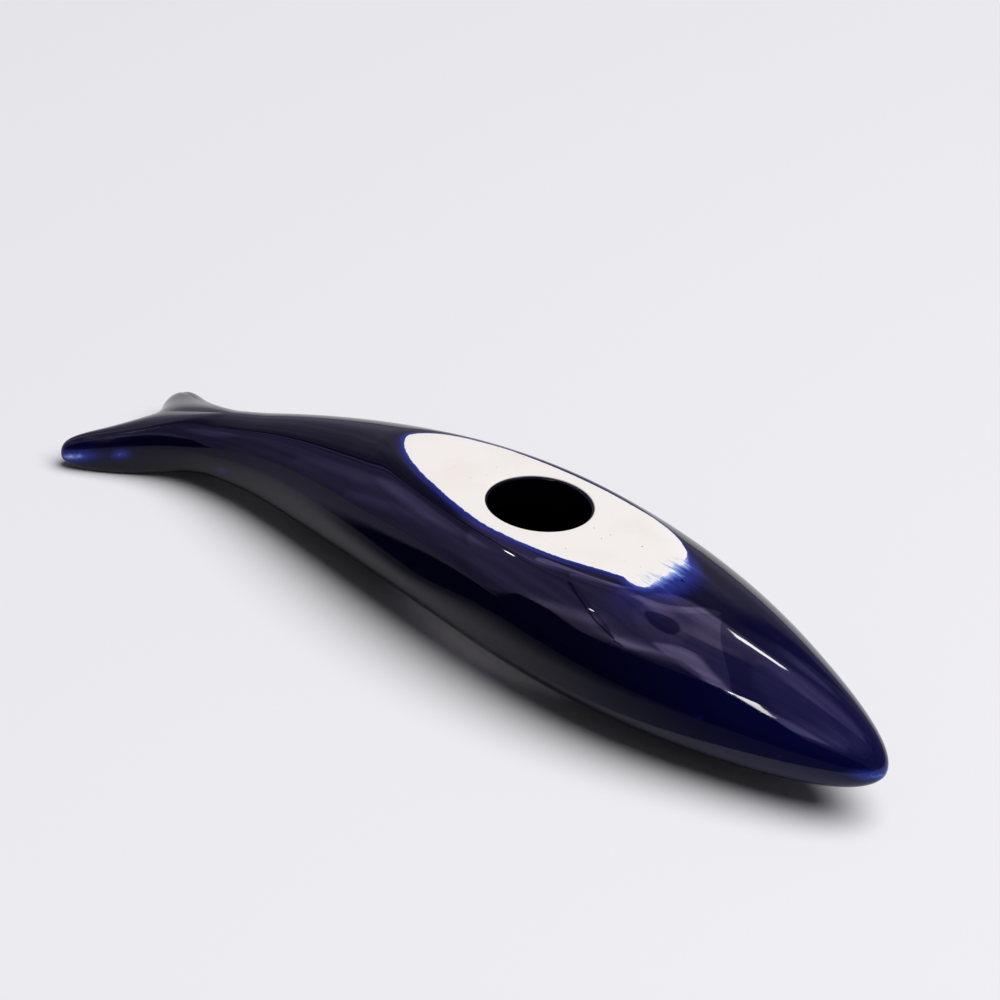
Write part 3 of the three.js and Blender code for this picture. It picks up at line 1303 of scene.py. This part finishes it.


# Painted reflections on the near side of the fish: outlines where the glaze's coat weight is painted, so
# that it mirrors the room more strongly, or not at all
POOLS = (
    PaintedReflectionPool("tail_streak", 0.7, 0.35, (
        (109, -8), (99, -9), (90, -10.4), (80, -12.2), (70, -14.4), (72, -15), (80, -13.6), (90, -11.8),
        (99, -10),
    )),
    PaintedReflectionPool("low_streak", 0.5, 0.4, (
        (96, -11.8), (84, -13.6), (74, -15.2), (64, -16.2), (58, -15.6), (64, -15), (74, -14.4), (84, -12.8),
    )),
    PaintedReflectionPool("left_field", 0.4, 0.35, (
        (70, -13.2), (61, -12.6), (52.1, -11.7), (46.6, -13.2), (42.8, -14), (49.8, -16), (56, -16.5),
        (66, -16),
    )),
    PaintedReflectionPool("middle_field", 0.12, 0.5, (
        (31.2, -1.3), (29.3, -3.6), (27.1, -5.8), (24.3, -7.7), (21.6, -9.5), (19.9, -10.2), (24.6, -10.2),
        (27.7, -10.4), (30.7, -10.8), (34.1, -12.1), (39.4, -14.1), (42.4, -13.6), (46.6, -12.9),
        (52.1, -11.3), (46.9, -8.9), (42.2, -8.2), (38.5, -7), (35.2, -5), (33.2, -2.6),
    )),
    PaintedReflectionPool("lower_rim", 0.3, 0.75, (
        (19.7, -10.4), (24.3, -10.7), (29.6, -11), (33.5, -12.3), (38.2, -14.3), (40.6, -14.2), (37, -12.4),
        (34, -11.2), (30.7, -9.9), (27.6, -9.4), (24.5, -9.2), (21.5, -9.6),
    )),
    PaintedReflectionPool("upper_ridge", 0.2, 1, (
        (57.5, -12.2), (52.8, -11), (46.9, -9.2), (42.2, -8.7), (38.5, -7.6), (35.2, -5.6), (33.2, -3.2),
        (31.3, -1.5), (31.6, -0.9), (33.7, -2), (35.7, -4.4), (38.8, -6.6), (42.3, -7.8), (46.9, -8.5),
        (52.8, -10.2), (57.5, -11.5),
    )),
    PaintedReflectionPool("front_field", 0.9, 0.35, (
        (22, -3.8), (17.5, -2.6), (12, -2.4), (7, -3), (4.6, -3.8), (7, -5.4), (12, -6.8), (17, -7.2),
        (20.5, -6.4),
    )),
    PaintedReflectionPool("halo", 0.6, 0.85, (
        (40.8, -9.9), (39.1, -8.1), (35.5, -6.5), (32.3, -7.3), (31.8, -9.4), (34.3, -11.2), (38.5, -11.2),
    )),
    PaintedReflectionPool("teardrop", 0.15, 0, (
        (39.4, -9.2), (37.9, -8), (34.9, -7.2), (33.2, -8), (33.8, -9.4), (36.1, -9.9), (37.9, -9.8),
    )),
)


@dataclass(frozen=True)
class ThinSpot:
    """A place on the mould line where the glaze ran thin and shows lighter.

    Args:
        behind: its distance behind the nose.
        side: the side it is on, or None for both.
        over: its height over the mould line.
        length: how far it reaches along the line.
        width: how far it reaches across the line.
        strength: how thin the glaze is there, up to 1.
    """

    behind: float
    side: Side | None
    over: float
    length: float
    width: float
    strength: float


@dataclass
class WipedPatch:
    """Where the glaze was wiped off the foot, smeared out towards the nose, and where it ran thin.

    The outline lists distances behind the nose and offsets from the centre line, once round.
    """

    form: FishForm
    outline: Corners = (
        (94.6, 0.4), (92.6, 3.6), (90, 5.5), (86, 7.2), (82, 8.5), (76, 9.6), (70, 10.35), (64, 10.75),
        (58, 10.7), (54, 10.6), (50.1, 9.8), (47.6, 8.8), (45.8, 7.7), (44.5, 6.7), (43.5, 5), (43.2, 2.6),
        (42.9, 0.3), (42.8, -1.1), (42.4, -3.2), (42, -4.7), (42.3, -5.8), (43.4, -6.3), (44.8, -6.3),
        (46.2, -6.1), (47.4, -6.5), (49.4, -7.2), (52.1, -8.2), (55.4, -9.3), (58.5, -10), (62, -10.6),
        (66, -10.95), (70, -10.95), (76, -9.9), (82, -8.2), (86, -6.8), (90, -4.8), (93, -2.5),
    )
    smear_from: float = 47
    smear_full: float = 43.6
    near_smear: float = 0.4
    near_side: Pair = (-6.5, -3)
    far_smear: float = 0.3
    far_side: Pair = (3.5, 7.5)
    far_crispness: float = 3
    crisp_side: Pair = (0, 5)
    pools_end: float = 116
    pool_steps: int = 5
    no_pool: float = 4
    dulling: Pair = (118, 142)
    nose_thin: float = 0.16
    nose_thin_from: float = 48
    spots: tuple[ThinSpot, ...] = (
        ThinSpot(0.4, None, -0.1, 3.2, 1.15, 0.74),
        ThinSpot(147.2, Side.RIGHT, -0.6, 3.4, 1.2, 0.9),
        ThinSpot(149.2, Side.LEFT, 0, 1.6, 0.7, 0.70),
        ThinSpot(141.1, Side.RIGHT, -0.7, 1.3, 1.0, 0.74),
        ThinSpot(124.5, Side.RIGHT, -1.9, 1.5, 0.6, 0.42),
        ThinSpot(24.1, Side.RIGHT, 0.9, 0.5, 0.3, 0.5),
        ThinSpot(12.3, Side.RIGHT, -0.4, 0.5, 0.3, 0.5),
        ThinSpot(105.8, Side.RIGHT, -0.3, 0.7, 0.3, 0.35),
    )

    def edge_values(self, points: Numbers) -> dict[str, Numbers]:
        """What the wiped edge's group reads at each point.

        Args:
            points: the points.

        Returns:
            The values by name.
        """
        behind, offset = self.form.unplace(points)
        over_line = points[:, 2] - self.form.parting(behind)
        smear = smoothstep(-behind, -self.smear_from, -self.smear_full)
        smear = smear * (self.near_smear + (1 - self.near_smear) * smoothstep(offset, *self.near_side))
        smear = smear * (1 - (1 - self.far_smear) * smoothstep(offset, *self.far_side))
        edge = PlanOutline(self.form, self.outline).distance(points)
        crisp = (self.far_crispness - 1) * smoothstep(offset, *self.crisp_side) * (1 - smear)
        thin = self.nose_thin * smoothstep(-behind, -self.nose_thin_from, 0)
        for spot in self.spots:
            along = (behind - spot.behind) / spot.length
            across = (over_line - spot.over) / spot.width
            on_side = 1.0 if spot.side is None else offset * spot.side.value > 0
            thin = np.maximum(thin, spot.strength * on_side * np.exp(-(along**2) - across**2))
        return {"edge": edge * (1 + crisp * (edge > 0)), "smear": smear, "thin": thin}

    def gloss_values(self, points: Numbers) -> dict[str, Numbers]:
        """How far each point is outside each painted reflection pool, and how dull the glaze is there.

        Args:
            points: the points.

        Returns:
            The values by name.
        """
        behind, _ = self.form.unplace(points)
        seen = (points[:, 2] > self.form.parting(behind)) & (behind < self.pools_end)
        values = {"dull": smoothstep(behind, *self.dulling)}
        for pool in POOLS:
            outside = np.full(len(points), self.no_pool, float)
            outside[seen] = PlanOutline(self.form, pool.corners, self.pool_steps).distance(points[seen])
            values[pool.name] = outside
        return values


@dataclass
class Shoulder:
    """The soft fold outside the wiped patch, where the flat of the foot turns down into the flank.

    Args:
        form: the fish.
        side: the side that it is on.
        slope: how steeply the skin lifts away from the plain form at the edge.
        fold: how far from the edge the fold lies.
        fade: how far from the edge the lift has gone.
        crease: how wide the fold is.
    """

    form: FishForm
    side: Side = Side.RIGHT
    slope: float = 0.16
    fold: float = 2.4
    fade: float = 10
    crease: float = 1.2
    fade_width: float = 4
    toward_nose: Pair = (34, 46)
    toward_tail: Pair = (90, 106)
    off_centre: Pair = (1, 5)

    def lift(self, points: Numbers, distance: Numbers) -> Numbers:
        """How far the skin lifts away from the plain form.

        Args:
            points: points of the skin.
            distance: the distance of each from the edge.

        Returns:
            One lift for each point.
        """
        behind, offset = self.form.unplace(points)
        falling = self.slope * self.fold * (self.fade - distance) / (self.fade - self.fold)
        lift = rounded_under(self.slope * distance, np.maximum(falling, 0), self.crease * self.slope)
        share = smoothstep(self.side.value * offset, *self.off_centre)
        share = share * smoothstep(behind, *self.toward_nose) * (1 - smoothstep(behind, *self.toward_tail))
        share = share * (points[:, 2] > self.form.parting(behind))
        near = 1 - smoothstep(distance, self.fade - self.fade_width, self.fade)
        return np.maximum(lift, 0) * share * near


@dataclass
class OuterGlaze:
    """The glaze over the outside: a thin closed coat that feathers out at the wiped edge."""

    workshop: Workshop
    patch: WipedPatch
    shoulder: Shoulder
    thickness: float = 0.4
    least_thickness: float = 0.02
    feather: float = 1.5
    relief_height: float = 0.14
    relief_wavelength: float = 22
    relief_seed: float = 3.0
    calm_edge: float = 4

    def build(self, relief: MeshTree, material: Material) -> Piece:
        """Builds and dresses the coat.

        Args:
            relief: the tree that moves its skin.
            material: its finish.

        Returns:
            The piece.
        """
        plain, faces = self.workshop.points, self.workshop.faces
        distance = ring_distance(plain, self.workshop.edge)
        outer = plain + point_normals(plain, faces) * self.shoulder.lift(plain, distance)[:, None]
        outward = point_normals(outer, faces)
        full = smoothstep(distance, 0, self.feather)
        depth = self.least_thickness + (self.thickness - self.least_thickness) * full
        inner = outer - outward * depth[:, None]
        count = len(outer)
        rim = open_edges(faces)
        wall = np.stack([rim[:, 1], rim[:, 0], rim[:, 0] + count, rim[:, 1] + count], axis=-1)
        values = self.patch.edge_values(outer) | self.patch.gloss_values(outer)
        values["outward"] = outward * smoothstep(distance, 0, self.calm_edge)[:, None]
        piece = self.workshop.piece(
            "cobalt_coat",
            np.concatenate([outer, inner]),
            np.concatenate([faces, faces[:, ::-1] + count, wall]),
            {name: np.concatenate([numbers, numbers]) for name, numbers in values.items()},
        )
        relief.bake(
            piece,
            Wavelength=self.relief_wavelength * MM,
            Height=self.relief_height * MM,
            Seed=self.relief_seed,
            Material=material,
        )
        return self.workshop.settle(piece, "outer_glaze", "cobalt_glaze")


@dataclass
class ClayBody:
    """The cast clay: its hidden outside, its bare foot, its pour hole and its hollow."""

    workshop: Workshop
    patch: WipedPatch
    glaze: OuterGlaze
    wall: float = 4
    rim: float = 0.18
    gap: float = 0.02
    rings: Counts = (24, 160, 24)
    columns: Counts = (8, 8)
    lobe_rows: int = 16
    foot_rows: int = 26
    rim_rows: int = 6

    @property
    def rim_height(self) -> float:
        """The height at which the throat ends and its rounded rim starts."""
        return self.workshop.form.foot_height - self.rim

    def outside(self) -> tuple[Numbers, Numbers]:
        """The outside under the glaze, open where the foot goes.

        Returns:
            Its points and its faces.
        """
        _, points, faces = glazed_skin(self.workshop.form, self.rings, self.columns, self.lobe_rows)
        share = smoothstep(ring_distance(points, self.workshop.edge), 0, self.glaze.feather)
        depth = (self.glaze.thickness + self.gap) * share
        return points - point_normals(points, faces) * depth[:, None], faces

    def foot(self) -> Numbers:
        """The bare foot, as rows of points from its edge to the rim of the pour hole."""
        form = self.workshop.form
        return form.over_foot(plan_annulus(self.workshop.edge, form.hole_radius + self.rim, self.foot_rows))

    def hollow(self, depth: float, top: float) -> Cavity:
        """A skin of the hollow.

        Args:
            depth: how far in from the clay it lies.
            top: the height at which its throat ends.

        Returns:
            The skin.
        """
        form = self.workshop.form
        inset = self.glaze.thickness + self.gap + self.wall + depth
        roof = form.foot_height - self.wall - depth
        return Cavity(form, inset, roof, form.hole_radius - depth, top, self.workshop.angles)

    def build(self, material: Material) -> Piece:
        """Builds and dresses the casting.

        Args:
            material: its finish.

        Returns:
            The piece.
        """
        draft = Draft()
        draft.add(*self.outside())
        draft.ring(self.foot(), turned=True)
        radius = self.workshop.form.hole_radius + self.rim
        lip = hole_lip(self.workshop.angles, radius, self.rim_height, self.rim, self.rim_rows)
        draft.ring(lip, turned=True)
        self.hollow(0, self.rim_height).draw(draft, inward=True)
        points, faces = draft.merged()
        piece = self.workshop.piece("bisque_casting", points, faces, self.patch.edge_values(points))
        piece.data.materials.append(material)
        return self.workshop.settle(piece, "clay_body", "bisque_clay")


@dataclass
class Lining:
    """The glaze inside the hollow and its throat: a thin closed coat with a rounded upper edge."""

    workshop: Workshop
    clay: ClayBody
    thickness: float = 0.4
    gap: float = 0.02
    edge_rows: int = 5

    def build(self, material: Material) -> Piece:
        """Builds and dresses the lining.

        Args:
            material: its finish.

        Returns:
            The piece.
        """
        draft = Draft()
        outer = self.clay.hollow(self.gap, self.clay.rim_height)
        inner = self.clay.hollow(self.gap + self.thickness, self.clay.rim_height - self.thickness)
        outer.draw(draft, inward=False)
        inner.draw(draft, inward=True)
        edge = hole_lip(outer.angles, outer.throat, inner.throat_top, self.thickness, self.edge_rows)
        draft.ring(edge, turned=False)
        piece = self.workshop.piece("swilled_lining", *draft.merged(), {})
        piece.data.materials.append(material)
        return self.workshop.settle(piece, "inner_glaze", "lining_glaze")


@dataclass
class FootSpecks:
    """A few iron specks and pinholes in the bare clay of the foot."""

    workshop: Workshop
    clay: ClayBody
    margin: float = 0.12
    density: float = 0.012
    smallest: float = 0.05
    largest: float = 0.13
    flatness: float = 0.3
    seed: int = 7

    def build(self, scatter: MeshTree, material: Material) -> Piece:
        """Builds and dresses the specks.

        Args:
            scatter: the tree that scatters them.
            material: their finish.

        Returns:
            The piece.
        """
        draft = Draft()
        draft.ring(self.clay.foot()[round(self.clay.foot_rows * self.margin) :], turned=True)
        piece = self.workshop.piece("foot_specks", *draft.merged(), {})
        scatter.bake(
            piece,
            Density=self.density / MM**2,
            Smallest=self.smallest * MM,
            Largest=self.largest * MM,
            Flatness=self.flatness,
            Seed=self.seed,
            Material=material,
        )
        piece.data.shade_smooth()
        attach(piece, "root")
        return piece


def toned(tint: Colour, strength: float) -> Colour:
    """A tint at a strength, as an opaque colour."""
    return tuple(part * strength for part in tint) + (1,)


@dataclass(frozen=True)
class Glow:
    """A lit or dark stretch of the room round the fish, which only the glaze's gloss shows.

    Args:
        name: what it is.
        tint: its colour.
        strength: how bright it is, where 1 is white.
        softness: how softly its edges fade.
        corners: its corners, as steps to the right and back for one step up, or as whole directions.
    """

    name: str
    tint: Colour
    strength: float
    softness: float
    corners: Corners

    def sides(self) -> list[Colour]:
        """The planes through the fish that bound it.

        Returns:
            One direction for each plane, square to it and pointing into the stretch.
        """
        corners = [Vector((*corner, 1.0)[:3]).normalized() for corner in self.corners]
        middle = sum(corners, Vector())
        pairs = zip(corners, corners[1:] + corners[:1])
        planes = [first.cross(second).normalized() for first, second in pairs]
        return [tuple(plane if plane.dot(middle) > 0 else -plane) for plane in planes]


# The tints of the room
PALE = (1.0, 0.92, 1.3)
COOL = (1.0, 0.84, 1.9)
DUSK = (1.0, 0.88, 2.1)
WARM = (1.0, 0.82, 1.5)
WHITE = (1.0, 1.0, 1.0)
NIGHT = (0.9, 0.9, 2.5)

# The stretches of the room, of which a later one lies over an earlier one
GLOWS = (
    Glow("back wall", PALE, 0.42, 0.12, (
        (-3, 0.3, 0), (-1, 2.2, 0), (-0.55, 1.6), (-0.9, 0.6), (-2.5, -0.1),
    )),
    Glow("right ceiling", DUSK, 0.36, 0.03, (
        (-0.3, 0.55), (-0.05, 1.05), (0.5, 1.1), (1.4, -0.4), (0.9, -2.2), (0.1, -0.6),
    )),
    Glow("right sweep", DUSK, 0.75, 0.14, ((0.3, 0.35), (0.75, 0.35), (0.95, -1.2), (0.5, -1.2))),
    Glow("back sweep", COOL, 1.3, 0.07, (
        (-0.2, 0.5), (-0.2, 0.75), (0.3, 0.85), (0.55, 0.45), (0.15, 0.25), (-0.05, 0.3),
    )),
    Glow("front sweep", COOL, 2.4, 0.06, (
        (0.16, -0.78), (0.3, -0.8), (0.85, -1.25), (0.6, -1.6), (0.2, -0.95),
    )),
    Glow("left ceiling", COOL, 0.5, 0.012, (
        (-0.05, -0.5), (-0.3, -0.05), (-2.2, -0.12), (-1, -0.04, 0), (-0.75, -1, 0), (-2.23, -3.75),
    )),
    Glow("left sweep", COOL, 1.1, 0.06, (
        (-0.8, -0.45), (-0.95, -0.75), (-1.75, -1.1), (-1.75, -0.5), (-1.2, -0.35),
    )),
    Glow("middle ceiling", COOL, 0.42, 0.012, (
        (-0.07, -0.1), (-0.04, -0.5), (-0.22, -0.45), (-0.62, -0.2), (-0.42, 0.6), (-0.3, 0.66),
    )),
    Glow("ridge light", COOL, 1, 0.03, ((-0.8, 0), (-0.75, 0.6), (-0.52, 0.78), (-0.42, 0.6), (-0.52, 0))),
    Glow("back rim", WARM, 1.3, 0.03, (
        (-0.3, 0.6), (-0.16, 0.6), (-0.12, 0.2), (-0.19, 0.16), (-0.24, 0.3),
    )),
    Glow("ridge rim", WARM, 1.4, 0.03, ((-0.38, 0.74), (-0.2, 0.7), (-0.19, 0.45), (-0.28, 0.41))),
    Glow("left rim", WARM, 2.6, 0.1, (
        (-0.02, -0.5), (-0.06, -0.28), (-0.22, -0.5), (-0.42, -0.86), (-1.1, -1.7), (-1, -1.95),
    )),
    Glow("right rim", WARM, 1.7, 0.012, (
        (-0.12, -0.1), (-0.09, -0.1), (0.2, -0.8), (0.1, -0.72), (-0.04, -0.5), (-0.14, -0.3),
    )),
    Glow("dark side", NIGHT, 0.02, 0.01, (
        (-0.06, -0.36), (0.9, -2.05), (0.5, -1, -0.2),
        (-0.2, -1, -0.5), (-0.77, -0.5, -0.39), (-0.48, -0.8, 0.37),
    )),
    Glow("dark front", NIGHT, 0.03, 0.02, (
        (0.5, -2.1), (2.7, -1.9), (0.95, -0.3, 0), (0.95, -0.3, -0.3), (0.2, -1, -0.3),
    )),
    Glow("dark back", DUSK, 0.07, 0.03, (
        (-0.34, 0.78), (-0.42, 1), (-0.8, 2.2), (-1.35, 4.4), (-0.7, 4.4), (-0.43, 1.9), (-0.36, 1.1),
    )),
    Glow("upper swirl", DUSK, 0.8, 0.05, (
        (-0.36, 1.2), (-0.36, 1.5), (-0.18, 1.6), (-0.14, 1.2), (-0.25, 1),
    )),
    Glow("upper seam", NIGHT, 0.05, 0.008, (
        (-0.55, 0.02), (-2.2, -0.03), (-1, 0, 0), (-1, -0.04, 0), (-2.2, -0.12), (-0.55, -0.05),
    )),
    Glow("left seam", NIGHT, 0.1, 0.005, ((-2.2, -0.2), (-0.38, -0.14), (-0.38, -0.165), (-2.2, -0.235))),
    Glow("cross seam", NIGHT, 0.1, 0.005, ((-0.385, -0.15), (-0.2, -0.85), (-0.18, -0.85), (-0.36, -0.15))),
    Glow("back lamp", WHITE, 40, 0.005, ((-0.25, 0.59), (-0.29, 0.66), (-0.15, 0.65), (-0.15, 0.59))),
    Glow("front lamp", WHITE, 40, 0.005, ((0.14, -0.69), (0.33, -1.04), (0.36, -1.03), (0.2, -0.67))),
    Glow("small lamp", WHITE, 40, 0.003, (
        (-0.265, -0.51), (-0.235, -0.51), (-0.235, -0.48), (-0.265, -0.48),
    )),
    Glow("side lamp", WHITE, 40, 0.003, ((-0.64, -0.2), (-0.6, -0.2), (-0.6, -0.15), (-0.64, -0.15))),
)


@dataclass
class Studio:
    """The floor, the dim room over it, the lamp and the camera."""

    origin: Numbers
    floor_colour: Colour = (0.852, 0.845, 0.876, 1)
    floor_radius: float = 4.0
    floor_segments: int = 96
    sky_strength: float = 0.08
    room_radius: float = 12
    room_segments: Counts = (64, 32)
    room_tone: float = 0.22
    cloud_scale: float = 4
    cloud_stretch: Colour = (0.6, 1.6, 1.0)
    cloud_detail: float = 3
    cloud_drift: Pair = (0.3, 0.7)
    cloud_strength: Pair = (0.8, 1.2)
    key_power: float = 69.4
    key_size: float = 2.6
    key_place: Colour = (0.86, 0.22, 2.14)
    shade_start: float = -16
    shade_edges: Pair = (-24, -38)
    edge_turn: Pair = (-25, -5)
    shade_softness: float = 3
    shade_height: float = 0.3
    far_shade: float = 0.85
    tail_shade: float = 0.35
    tail_turn: Pair = (-75, -25)
    nose_shade: float = 0.82
    nose_turn: Pair = (-20, 55)
    lit_corner: Pair = (-55, -31)
    lit_slope: float = 1.5
    lit_softness: float = 14
    lit_tone: float = 0.6
    dark_tone: float = 0.01
    azimuth: float = math.radians(39.0)
    elevation: float = math.radians(30.2)
    roll: float = math.radians(6.4)
    distance: float = 650
    target: Colour = (-4.4, -4.1, 23.5)
    lens: float = 155.4
    nearest_seen: float = 0.01

    def camera(self) -> None:
        """Makes the camera at the photograph's place."""
        right = np.array([math.cos(self.azimuth), math.sin(self.azimuth), 0])
        level_back = np.array([math.sin(self.azimuth), -math.cos(self.azimuth), 0])
        back = level_back * math.cos(self.elevation) + np.array([0, 0, math.sin(self.elevation)])
        up = np.cross(back, right)
        turned_right = math.cos(self.roll) * right + math.sin(self.roll) * up
        turned_up = math.cos(self.roll) * up - math.sin(self.roll) * right
        place = (np.array(self.target) + self.origin + back * self.distance) * MM
        rows = np.column_stack([turned_right, turned_up, back, place]).tolist()
        lens = bpy.data.cameras.new("camera")
        lens.lens = self.lens
        lens.clip_start = self.nearest_seen
        camera = bpy.data.objects.new("camera", lens)
        camera.matrix_world = Matrix(rows + [[0, 0, 0, 1]])
        bpy.context.scene.collection.objects.link(camera)
        bpy.context.scene.camera = camera

    @staticmethod
    def shape(name: str, operator: Callable[..., object], **sizes: float) -> Mesh:
        """Makes a mesh with one of Blender's own shape operators.

        Args:
            name: its name.
            operator: the operator.
            sizes: the operator's sizes.

        Returns:
            The mesh.
        """
        mesh = bpy.data.meshes.new(name)
        shape = bmesh.new()
        operator(shape, **sizes)
        shape.to_mesh(mesh)
        shape.free()
        return mesh

    @staticmethod
    def stage(mesh: Mesh, material: Material, only_in_gloss: bool = True) -> None:
        """Puts a mesh into the scene as a part of the stage.

        Args:
            mesh: the mesh.
            material: its material.
            only_in_gloss: whether only reflections show it.
        """
        mesh.materials.append(material)
        piece = bpy.data.objects.new(mesh.name, mesh)
        bpy.context.scene.collection.objects.link(piece)
        if only_in_gloss:
            piece.visible_camera = False
            piece.visible_diffuse = False
            piece.visible_shadow = False
            piece.visible_transmission = False

    def floor(self) -> None:
        """Lays the pale floor."""
        sizes = {"radius": self.floor_radius, "segments": self.floor_segments}
        mesh = self.shape("floor", bmesh.ops.create_circle, cap_ends=True, **sizes)
        material, wiring, shader, _ = Finish("pale_floor", specular=0.0).start()
        wiring.fill(shader, {"Base Color": self.floor_colour, "Roughness": 1.0})
        self.stage(mesh, material, only_in_gloss=False)

    @staticmethod
    def bare_material(name: str) -> tuple[Material, Wiring, Node]:
        """Makes a material without a shader that lights nothing.

        Args:
            name: its name.

        Returns:
            The material, its wiring and the node that takes its shader.
        """
        material = bpy.data.materials.new(name)
        material.use_nodes = True
        nodes = material.node_tree.nodes
        nodes.remove(nodes["Principled BSDF"])
        material.cycles.emission_sampling = "NONE"
        return material, Wiring(material.node_tree), nodes["Material Output"]

    def room(self) -> None:
        """Makes the dim room whose lit and dark stretches the gloss shows."""
        round_about, upwards = self.room_segments
        sizes = {"u_segments": round_about, "v_segments": upwards, "radius": self.room_radius}
        mesh = self.shape("room", bmesh.ops.create_uvsphere, **sizes)
        material, wiring, output = self.bare_material("dim_room")
        direction = wiring.vector("NORMALIZE", wiring.position())
        tone: object = toned(PALE, self.room_tone)
        for glow in GLOWS:
            share: object = 1.0
            for side in glow.sides():
                reach = wiring.vector("DOT_PRODUCT", direction, side)
                share = wiring.math("MULTIPLY", share, wiring.ease(reach, -glow.softness, glow.softness))
            tone = wiring.blend(share, tone, toned(glow.tint, glow.strength))
            tone.node.label = glow.name
        stretched = wiring.vector("MULTIPLY", direction, self.cloud_stretch)
        clouds = wiring.noise(stretched, self.cloud_scale, self.cloud_detail)
        strength = wiring.ease(clouds, *self.cloud_drift, *self.cloud_strength)
        light = wiring.add("ShaderNodeEmission", {"Color": tone, "Strength": strength})
        wiring.fill(output, {"Surface": light.outputs[0]})
        self.stage(mesh, material)

    def floor_shade(self) -> None:
        """Lays the dark that the gloss shows in place of the floor on the camera's side."""
        near = (self.shade_start + self.origin[1]) * MM
        low = self.shade_height * MM
        wide = self.floor_radius / 2
        mesh = bpy.data.meshes.new("floor_shade")
        corners = [(-wide, -wide, low), (wide, -wide, low), (wide, near, low), (-wide, near, low)]
        mesh.from_pydata(corners, [], [(0, 1, 2, 3)])
        material, wiring, output = self.bare_material("floor_shade")
        middle = wiring.vector("SUBTRACT", wiring.position(), tuple(self.origin * MM))
        place = wiring.add("ShaderNodeSeparateXYZ", {0: wiring.vector("SCALE", middle, 1 / MM)})
        along, across = place.outputs[0], place.outputs[1]
        edge = wiring.ease(along, *self.edge_turn, *self.shade_edges)
        past_edge = wiring.math("SUBTRACT", across, edge)
        beyond = wiring.ease(past_edge, -self.shade_softness, self.shade_softness, 1, 0)
        deepest = wiring.ease(along, *self.tail_turn, self.tail_shade, self.far_shade)
        away = wiring.ease(across, edge, self.shade_start, deepest, 0)
        towards_nose = wiring.ease(along, *self.nose_turn, 0, self.nose_shade)
        partial = wiring.math("MAXIMUM", away, towards_nose)
        corner_along, corner_across = self.lit_corner
        line_start = corner_across - self.lit_slope * corner_along
        line = wiring.math("MULTIPLY_ADD", along, self.lit_slope, line_start)
        unlit = wiring.ease(wiring.math("SUBTRACT", line, across), -self.lit_softness, self.lit_softness)
        colour = wiring.blend(unlit, toned(PALE, self.lit_tone), toned(NIGHT, self.dark_tone))
        shine = wiring.add("ShaderNodeEmission", {"Color": colour})
        open_air = wiring.add("ShaderNodeBsdfTransparent")
        shares = {0: wiring.math("MAXIMUM", beyond, partial), 1: open_air.outputs[0], 2: shine.outputs[0]}
        wiring.fill(output, {"Surface": wiring.add("ShaderNodeMixShader", shares).outputs[0]})
        self.stage(mesh, material)

    def sky(self) -> None:
        """Sets the faint even sky, which looks as pale as the floor where the camera sees it."""
        world = bpy.data.worlds.new("soft_sky")
        world.use_nodes = True
        wiring = Wiring(world.node_tree)
        seen = wiring.add("ShaderNodeLightPath").outputs["Is Camera Ray"]
        strength = wiring.mix(seen, self.sky_strength, 1.0)
        wiring.fill(world.node_tree.nodes["Background"], {"Color": self.floor_colour, "Strength": strength})
        bpy.context.scene.world = world

    def lamp(self) -> None:
        """Hangs the wide soft lamp over the fish."""
        lamp = bpy.data.lights.new("key_lamp", "AREA")
        lamp.shape = "DISK"
        lamp.size = self.key_size
        lamp.energy = self.key_power
        key = bpy.data.objects.new("key_lamp", lamp)
        key.location = self.key_place
        key.rotation_mode = "QUATERNION"
        key.rotation_quaternion = Vector(self.key_place).to_track_quat("Z", "Y")
        key.visible_camera = False
        key.visible_glossy = False
        bpy.context.scene.collection.objects.link(key)

    def build(self) -> None:
        """Sets everything up."""
        self.camera()
        self.floor()
        self.room()
        self.floor_shade()
        self.sky()
        self.lamp()
        bpy.context.scene.view_settings.view_transform = "Standard"


def main() -> None:
    """Builds the figurine and its studio."""
    logging.basicConfig(level=logging.INFO, format="%(message)s")
    form = FishForm()
    workshop = Workshop(form)
    patch = WipedPatch(form)
    wipe = WipedEdge().group()
    glaze = OuterGlaze(workshop, patch, Shoulder(form))
    clay = ClayBody(workshop, patch, glaze)
    made = [
        glaze.build(relief_tree(), GlazeFinish("cobalt_glaze").material(wipe)),
        clay.build(BisqueFinish("bisque_clay").material(wipe)),
        Lining(workshop, clay).build(SWILLED_GLAZE.material()),
        FootSpecks(workshop, clay).build(speck_tree(), IRON_SPECKS.material()),
    ]
    for piece in made:
        LOG.info("%s: %d points, %d faces", piece.name, len(piece.data.vertices), len(piece.data.polygons))
    Studio(workshop.origin).build()


if __name__ == "__main__":
    main()
